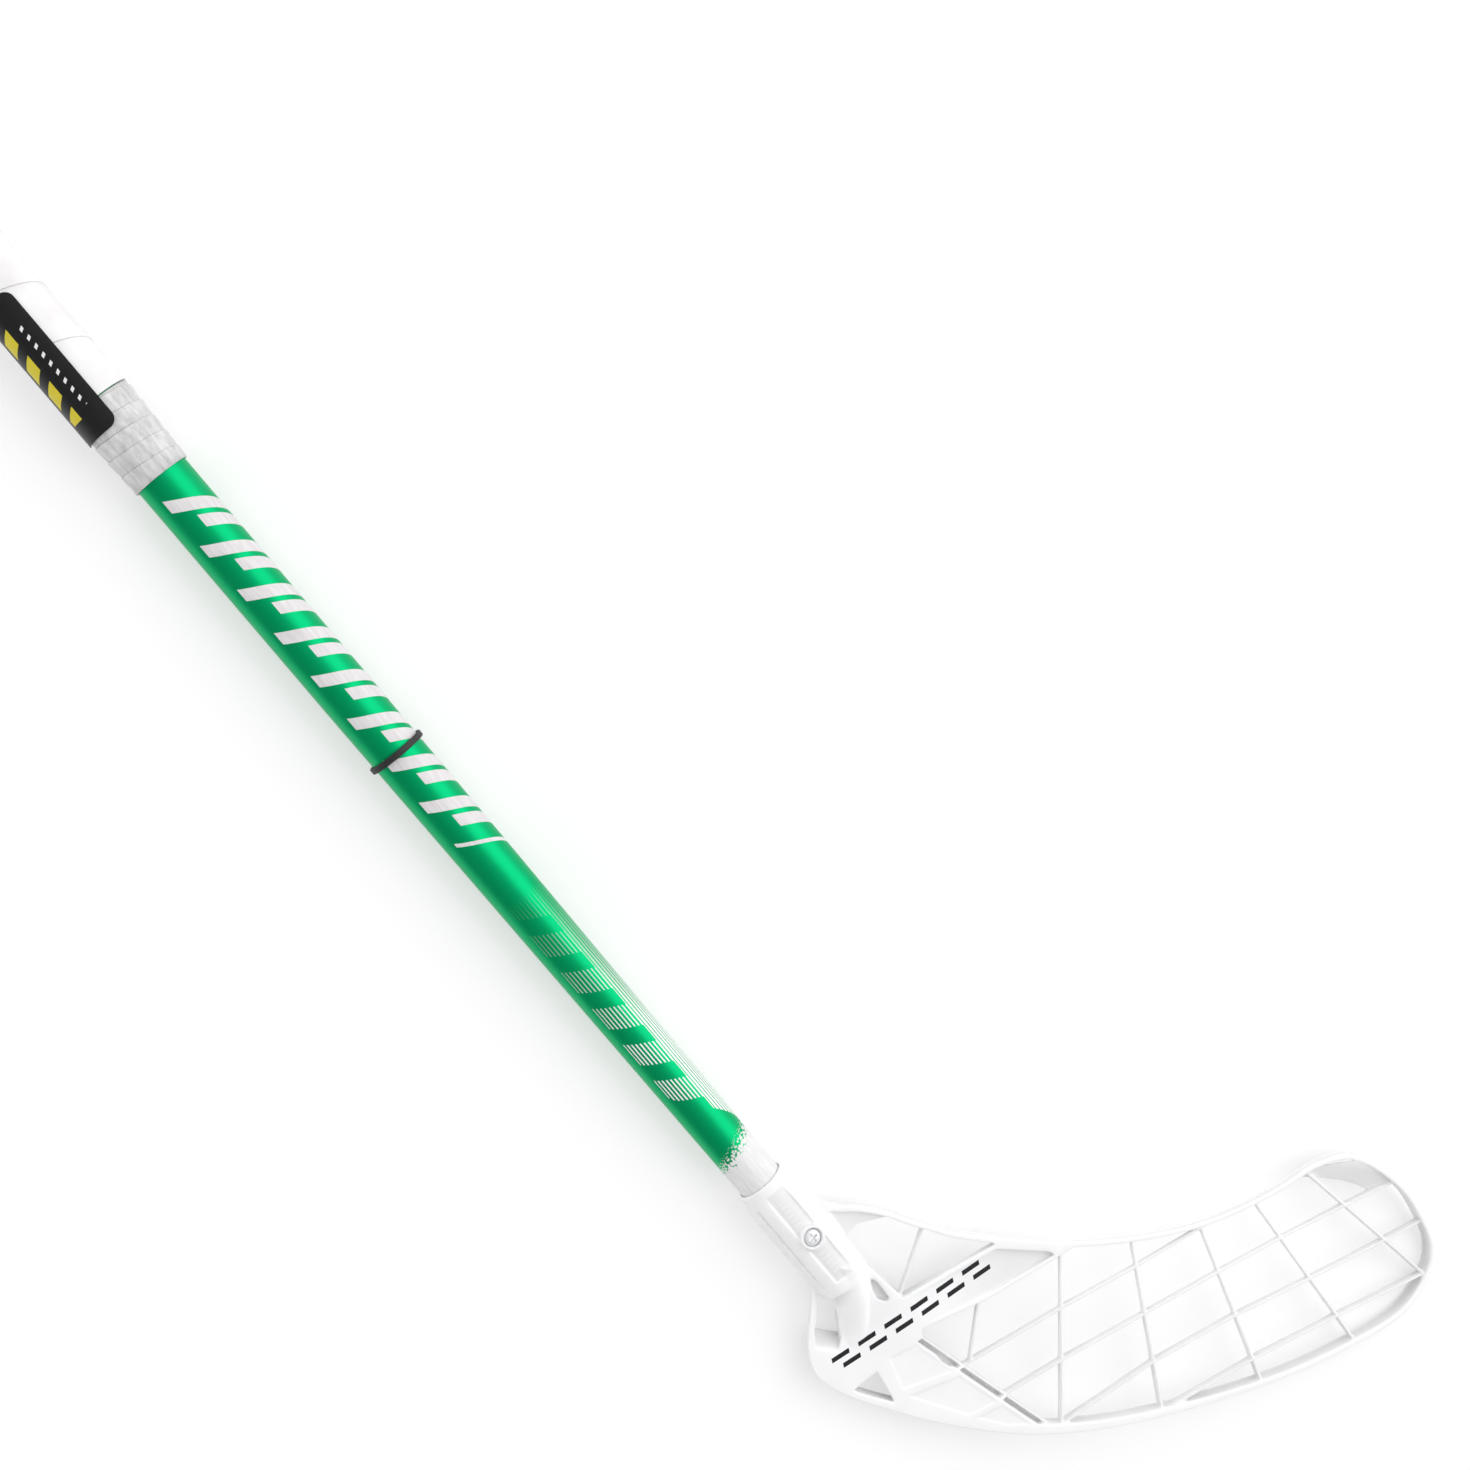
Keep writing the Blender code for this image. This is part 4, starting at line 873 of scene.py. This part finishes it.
def lacquer():
    """Green lacquer with white print: slanted bars, blocks of fine lines and a dotted fade."""
    it = Finish("green_lacquer", (0.0, 0.42, 0.16), 0.38, Metallic=0.85,
                Specular_IOR_Level=0.25)
    x, y, z = it.axes()
    down = it.math("MULTIPLY", it.math("SUBTRACT", x, TAPE_LOW), 1000.0)
    round_it = it.math("MULTIPLY", it.math("ARCTAN2", y, z), SHAFT_ROUND)
    slant = it.math("MULTIPLY_ADD", round_it, -0.55, down)

    # slanted bars, a long and a short one in turn
    phase = it.math("FLOORED_MODULO", it.math("SUBTRACT", slant, BARS_START), BAR_PITCH)
    long_bar = it.all_of(it.between(phase, 0.0, BAR_WIDTH), it.between(round_it, -5.2, 24.0))
    short_bar = it.all_of(it.between(phase, SHORT_BAR_START, SHORT_BAR_START + BAR_WIDTH),
                          it.between(round_it, 1.8, 24.0))
    bars = it.all_of(it.math("ADD", long_bar, short_bar),
                     it.between(slant, BARS_START, BARS_END))

    # fine lines, broken on one side by slanted green patches
    width = it.ramp(down, 196.0, 300.0, 0.14, 0.32)
    far_side = it.math("GREATER_THAN", round_it, PATCH_SIDE)
    width = it.math("MULTIPLY_ADD", far_side, 0.23, width)
    line = it.math("LESS_THAN", it.math("PINGPONG", round_it, LINE_HALF_PITCH), width)
    strength = it.ramp(down, 212.0, 285.0)
    phase = it.math("FLOORED_MODULO", it.math("SUBTRACT", slant, PATCHES_START), PATCH_PITCH)
    patch = it.all_of(it.math("LESS_THAN", phase, PATCH_WIDTH),
                      it.math("LESS_THAN", round_it, PATCH_SIDE),
                      it.math("GREATER_THAN", slant, PATCHES_START))
    end = it.math("LESS_THAN", it.math("MULTIPLY_ADD", round_it, -1.15, down), LINES_END)
    zone = it.all_of(end, it.math("GREATER_THAN", slant, LINES_START),
                     it.between(round_it, -6.5, 27.0))
    lines = it.math("MULTIPLY", it.all_of(line, zone), it.math("SUBTRACT", strength, patch),
                    clamp=True)

    # white end with a ragged edge and specks
    spread = it.add("CombineXYZ", down, round_it).outputs[0]
    specks = it.add("TexVoronoi", Vector=spread, Scale=0.8)
    specks.voronoi_dimensions = "2D"
    reach = it.math("MULTIPLY_ADD", round_it, 0.35, down)
    reach = it.math("MULTIPLY_ADD", specks.outputs["Distance"], -9.0, reach)
    fade = it.ramp(reach, FADE_START, FADE_END)

    white = it.math("MAXIMUM", it.math("MAXIMUM", bars, lines), fade)
    green = it.mix(it.noise(4200.0, 1.0), (0.0, 0.42, 0.145), (0.0, 0.44, 0.160))
    streaks = it.noise(900.0, 3.0, 0.6, (0.12, 1.0, 1.0))
    ink = it.mix(it.ramp(streaks, 0.35, 0.65), (0.64, 0.61, 0.62), (0.73, 0.71, 0.72))
    plain = it.mix(it.ramp(streaks, 0.35, 0.65), (0.70, 0.70, 0.70), (0.79, 0.79, 0.79))
    ink = it.mix(fade, it.mix(lines, ink, (0.84, 0.84, 0.84)), plain)
    it.set("Base Color", it.mix(white, green, ink))
    it.set("Roughness", it.ramp(it.noise(900.0), 0.3, 0.7, 0.40, 0.46))
    it.set("Metallic", it.ramp(white, 0.0, 1.0, 0.85, 0.0))
    it.bump((0.00002, white), (0.000003, it.noise(1500.0, 2.0)))
    return it.material


def white_plastic():
    """Satin moulding: a very fine grain, faint flow marks, black dashes on the band, and
    painted shade on its sunk faces and the hosel's panel.
    """
    it = Finish("white_plastic", (0.89, 0.89, 0.90), 0.45, Specular_IOR_Level=0.35,
                Subsurface_Weight=0.25, Subsurface_Radius=(1.0, 1.0, 1.0),
                Subsurface_Scale=0.006)
    flow = it.noise(28.0, 4.0, 0.55)
    white = it.mix(it.ramp(flow, 0.35, 0.65), (0.87, 0.87, 0.88), (0.90, 0.90, 0.91))
    u, v, w = it.axes(it.seen_from(it.place, BLADE))

    # run goes along the band and rise across it, in millimetres
    from_heel = it.math("SUBTRACT", u, PRINT_START[0])
    from_sole = it.math("SUBTRACT", v, PRINT_START[1])
    run = it.math("ADD", it.math("MULTIPLY", from_heel, 1000.0 * math.cos(PRINT_ANGLE)),
                  it.math("MULTIPLY", from_sole, 1000.0 * math.sin(PRINT_ANGLE)))
    rise = it.math("ADD", it.math("MULTIPLY", from_sole, 1000.0 * math.cos(PRINT_ANGLE)),
                   it.math("MULTIPLY", from_heel, -1000.0 * math.sin(PRINT_ANGLE)))
    slant = it.math("MULTIPLY_ADD", rise, -0.35, run)
    step = it.math("FLOORED_MODULO", slant, DASH_PITCH)
    upper = it.all_of(it.between(rise, 5.6, 5.6 + DASH_HEIGHT),
                      it.math("LESS_THAN", step, DASH_LENGTH))
    lower = it.all_of(it.between(rise, 1.2, 1.2 + DASH_HEIGHT),
                      it.math("GREATER_THAN", step, DASH_PITCH - DASH_LENGTH))
    ink = it.all_of(it.math("ADD", upper, lower), it.between(slant, 0.0, DASHES_END),
                    it.math("GREATER_THAN", w, 0.0))

    # painted shade: faces sunk below the blade's two sides, rib tops, webs and pockets among
    # them, are a shade greyer
    bend = it.math("POWER", it.math("MAXIMUM", it.math("SUBTRACT", u, HOOK_START), 0.0), 2.0)
    height = it.math("MULTIPLY_ADD", bend, HOOK_DEPTH / (HOOK_END - HOOK_START) ** 2, w)
    near_top = it.all_of(*[it.ramp(value, *ends)
                           for value, ends in zip((u, v, u), TOP_STRETCHES)])
    side = it.ramp(near_top, 0.0, 1.0, BLADE_DEPTH / 2, BLADE_DEPTH / 2 * (1 - TOP_THINNING))
    sunk = it.math("SUBTRACT", side, it.math("ABSOLUTE", height))
    x, y, z = it.axes()
    off_hosel = it.math("MAXIMUM", it.math("SUBTRACT", it.math("ABSOLUTE", y), HOSEL_RADIUS),
                        it.math("SUBTRACT", x, HOSEL_LENGTH))
    sunk = it.all_of(it.ramp(sunk, 0.0006, 0.0018), it.ramp(off_hosel, 0.0003, 0.0012))
    white = it.mix(sunk, white, (0.78, 0.78, 0.78))

    # painted shade on the hosel's sunk panel too, a little lighter on small raised bars on
    # both sides of the screw
    off_screw = it.math("SUBTRACT", it.math("ARCTAN2", y, z), SCREW_TURN)
    on_panel = it.all_of(it.between(x, PANEL_START + 0.0005, PANEL_END - 0.0005),
                         it.between(off_screw, -0.36, 0.36))
    off_boss = it.math("ABSOLUTE", it.math("SUBTRACT", x, SCREW_PLACE))
    bars = it.all_of(it.math("LESS_THAN", it.math("FLOORED_MODULO", x, 0.0023), 0.0012),
                     it.between(off_boss, 0.0075, 0.0195),
                     it.between(off_screw, -0.24, 0.06))
    white = it.mix(on_panel, white, (0.80, 0.80, 0.81))
    white = it.mix(bars, white, (0.84, 0.84, 0.85))
    it.set("Base Color", it.mix(ink, white, (0.012, 0.012, 0.014)))
    it.set("Roughness", it.ramp(it.noise(220.0, 4.0), 0.3, 0.7, 0.42, 0.52))
    it.bump((0.00003, it.noise(60.0, 3.0)), (0.0004, bars), (0.000006, it.noise(2400.0, 2.0)))
    return it.material


def grip_foam():
    """Soft foamed band: fine pores and a faint pinkish grey cast."""
    it = Finish("white_grip", (0.80, 0.79, 0.79), 0.62, Sheen_Weight=0.15)
    tone = it.noise(90.0, 5.0, 0.6)
    it.set("Base Color", it.mix(it.ramp(tone, 0.3, 0.7), (0.76, 0.745, 0.745),
                                (0.84, 0.835, 0.835)))
    it.set("Roughness", it.ramp(tone, 0.3, 0.7, 0.70, 0.55))
    it.bump((0.00012, it.noise(240.0, 3.0)), (0.00003, it.noise(1800.0, 3.0, 0.7)))
    return it.material


def tape_film():
    """Soft adhesive tape, creased across its turns, with painted shade in the hollows of its
    creases.
    """
    it = Finish("white_tape", (0.84, 0.84, 0.84), 0.5, Coat_Weight=0.1)
    creases = it.noise(420.0, 4.0, 0.65, (0.30, 1.0, 1.0))
    # painted shade: the tape is darker in the hollows of its creases
    it.set("Base Color", it.mix(it.ramp(creases, 0.3, 0.7), (0.46, 0.455, 0.455),
                                (0.72, 0.71, 0.71)))
    it.set("Roughness", it.ramp(it.noise(300.0), 0.3, 0.7, 0.46, 0.62))
    it.bump((0.00022, creases), (0.00003, it.noise(1500.0, 2.0)))
    return it.material


def label_film():
    """Black printed film with a row of yellow blocks and a row of white ticks."""
    it = Finish("black_label", (0.008, 0.008, 0.009), 0.35, Specular_IOR_Level=0.3)
    x, y, z = it.axes()
    run = it.math("MULTIPLY", it.math("SUBTRACT", LABEL_LOW, x), 1000.0)
    round_it = it.math("MULTIPLY", it.math("ARCTAN2", it.math("MULTIPLY", y, -1.0), z), 13.4)
    slant = it.math("MULTIPLY_ADD", round_it, 0.5, run)
    yellow = it.all_of(it.between(round_it, 8.0, 15.0),
                       it.math("LESS_THAN", it.math("FLOORED_MODULO", slant, 12.0), 7.0),
                       it.between(run, 9.0, 56.0))
    ticks = it.all_of(it.between(round_it, 2.0, 3.6),
                      it.math("LESS_THAN", it.math("FLOORED_MODULO", slant, 4.0), 1.4),
                      it.between(run, 12.0, 50.0))
    tone = it.mix(it.noise(400.0), (0.006, 0.006, 0.007), (0.011, 0.011, 0.012))
    tone = it.mix(yellow, tone, (0.62, 0.52, 0.02))
    it.set("Base Color", it.mix(ticks, tone, (0.75, 0.75, 0.75)))
    it.set("Roughness", it.ramp(it.noise(500.0), 0.3, 0.7, 0.30, 0.42))
    it.bump((0.00003, it.noise(120.0, 2.0)))
    return it.material


def rubber():
    """Matt rubber with a dusty skin."""
    it = Finish("black_rubber", (0.014, 0.014, 0.015), 0.55)
    dust = it.noise(700.0, 4.0, 0.7)
    it.set("Base Color", it.mix(it.ramp(dust, 0.45, 0.75), (0.011, 0.011, 0.012),
                                (0.030, 0.030, 0.030)))
    it.set("Roughness", it.ramp(dust, 0.3, 0.7, 0.48, 0.66))
    it.bump((0.00002, it.noise(2200.0, 3.0)))
    return it.material


def cap_plastic():
    """Black moulding with a fine spark-eroded grain."""
    it = Finish("black_plastic", (0.02, 0.02, 0.022), 0.45)
    grain = it.noise(1600.0, 2.0)
    it.set("Base Color", it.mix(grain, (0.016, 0.016, 0.018), (0.026, 0.026, 0.028)))
    it.set("Roughness", it.ramp(grain, 0.3, 0.7, 0.40, 0.55))
    it.bump((0.00004, grain))
    return it.material


def zinc():
    """Zinc-plated steel with fine turning marks."""
    it = Finish("zinc_steel", (0.82, 0.83, 0.84), 0.45, Metallic=0.3)
    tone = it.noise(1200.0, 3.0)
    it.set("Base Color", it.mix(tone, (0.78, 0.79, 0.80), (0.88, 0.88, 0.89)))
    it.set("Roughness", it.ramp(tone, 0.3, 0.7, 0.32, 0.48))
    it.bump((0.00001, it.noise(2600.0, 2.0)))
    return it.material


# The room

def stage_nodes(thing):
    """Empty material for a thing of the room."""
    material = bpy.data.materials.new(thing.name + "_white")
    material.use_nodes = True
    material.node_tree.nodes.clear()
    thing.data.materials.append(material)
    return material.node_tree


def backdrop():
    """White all round that only the camera sees; it lights nothing."""
    builder = bmesh.new()
    bmesh.ops.create_icosphere(builder, subdivisions=4, radius=39.0)
    thing = add_mesh("backdrop", builder)
    thing.visible_diffuse = False
    thing.visible_glossy = False
    thing.visible_transmission = False
    thing.visible_shadow = False
    tree = stage_nodes(thing)
    add_node(tree, "OutputMaterial", Surface=add_node(tree, "Emission").outputs[0])


def floor():
    """Plain white floor that keeps the stick's soft shadow, and is whiter far away."""
    builder = bmesh.new()
    bmesh.ops.create_circle(builder, cap_ends=True, segments=96, radius=40.0)
    thing = add_mesh("floor", builder)
    thing.location = (0.0, 0.0, -0.0002)
    tree = stage_nodes(thing)
    paint = add_node(tree, "BsdfDiffuse", (0.80, 0.80, 0.80, 1.0))
    shade = add_node(tree, "BsdfDiffuse", (0.54, 0.54, 0.54, 1.0))
    place = add_node(tree, "TexCoord").outputs["Object"]
    reach = add_node(tree, "VectorMath", place, operation="LENGTH").outputs["Value"]
    whiter = add_node(tree, "MapRange", reach, 1.6, 3.4, 0.45, 1.0)
    lift = add_node(tree, "Emission", Strength=whiter.outputs[0])
    both = add_node(tree, "AddShader", shade.outputs[0], lift.outputs[0])
    ray = add_node(tree, "LightPath").outputs
    seen = ray["Is Camera Ray"]
    for kind in ("Is Glossy Ray", "Is Transmission Ray"):
        seen = add_node(tree, "Math", seen, ray[kind], operation="MAXIMUM").outputs[0]
    pick = add_node(tree, "MixShader", seen, paint.outputs[0], both.outputs[0])
    add_node(tree, "OutputMaterial", Surface=pick.outputs[0])


def soft_box(name, place, target, width, height, power):
    light = bpy.data.lights.new(name, "AREA")
    light.shape = "RECTANGLE"
    light.size = width
    light.size_y = height
    light.energy = power
    thing = bpy.data.objects.new(name, light)
    bpy.context.scene.collection.objects.link(thing)
    thing.location = place
    thing.rotation_euler = (Vector(target) - Vector(place)).to_track_quat("-Z", "Y").to_euler()
    thing.visible_camera = False
    return thing


def lights():
    """A large soft box on the far side, three weak ones that aren't mirrored, and a room."""
    soft_box("key", (0.45, 1.85, 1.55), (0.1, 0.0, 0.0), 3.4, 2.6, 43.0)
    for name, place, width, height, power in (("fill", (0.0, -2.2, 0.55), 3.4, 0.9, 14.0),
                                              ("side", (-2.1, -0.5, 0.55), 1.8, 0.9, 20.0),
                                              ("top", (0.2, 0.0, 2.6), 2.2, 2.2, 8.5)):
        soft_box(name, place, (0.2, 0.0, 0.0), width, height, power).visible_glossy = False
    # the room is brighter towards the far side
    world = bpy.data.worlds.new("room")
    bpy.context.scene.world = world
    world.use_nodes = True
    tree = world.node_tree
    split = add_node(tree, "SeparateXYZ", add_node(tree, "TexCoord").outputs["Generated"])
    glow = add_node(tree, "MapRange", split.outputs["Y"], -1.0, 0.4, 0.26, 0.72)
    put(tree, tree.nodes["Background"], "Color", (1.0, 1.0, 1.0, 1.0))
    put(tree, tree.nodes["Background"], "Strength", glow.outputs[0])


def camera():
    """The photo's view: the blade square to it, the grip running out at the upper left."""
    ahead = Vector(CAMERA_AHEAD).normalized()
    right = Vector(CAMERA_RIGHT).normalized()
    up = right.cross(ahead)
    turn = Matrix((right, up, -ahead)).transposed().to_4x4()
    lens = bpy.data.cameras.new("camera")
    lens.sensor_width = SENSOR_WIDTH
    lens.lens = FOCAL_LENGTH / PHOTO_WIDTH * SENSOR_WIDTH
    lens.clip_start = 0.01
    lens.clip_end = 200.0
    thing = bpy.data.objects.new("camera", lens)
    bpy.context.scene.collection.objects.link(thing)
    thing.matrix_world = STICK @ Matrix.Translation(CAMERA_PLACE) @ turn
    bpy.context.scene.camera = thing


camera()
lights()
backdrop()
floor()
bpy.context.scene.view_settings.view_transform = "Standard"

finish_piece(shaft_tube(), lacquer(), "green_lacquer", "stick", "shaft_tube")
finish_piece(grip_band(), grip_foam(), "white_grip", "stick", "grip_wrap")
finish_piece(finishing_tape(), tape_film(), "white_tape", "stick", "finishing_tape")
finish_piece(label(), label_film(), "black_label", "stick", "grip_label")
finish_piece(end_cap(), cap_plastic(), "black_plastic", "stick", "end_cap")
finish_piece(rubber_ring(), rubber(), "black_rubber", "ring", "rubber_ring")
finish_piece(blade(), white_plastic(), "white_plastic", "stick", "blade")
finish_piece(screw(), zinc(), "zinc_steel", "stick", "blade_screw")
for name in ("shaft", "grip", "label", "screw"):
    bpy.data.objects[name].data.set_sharp_from_angle(angle=SHARP_ANGLE)
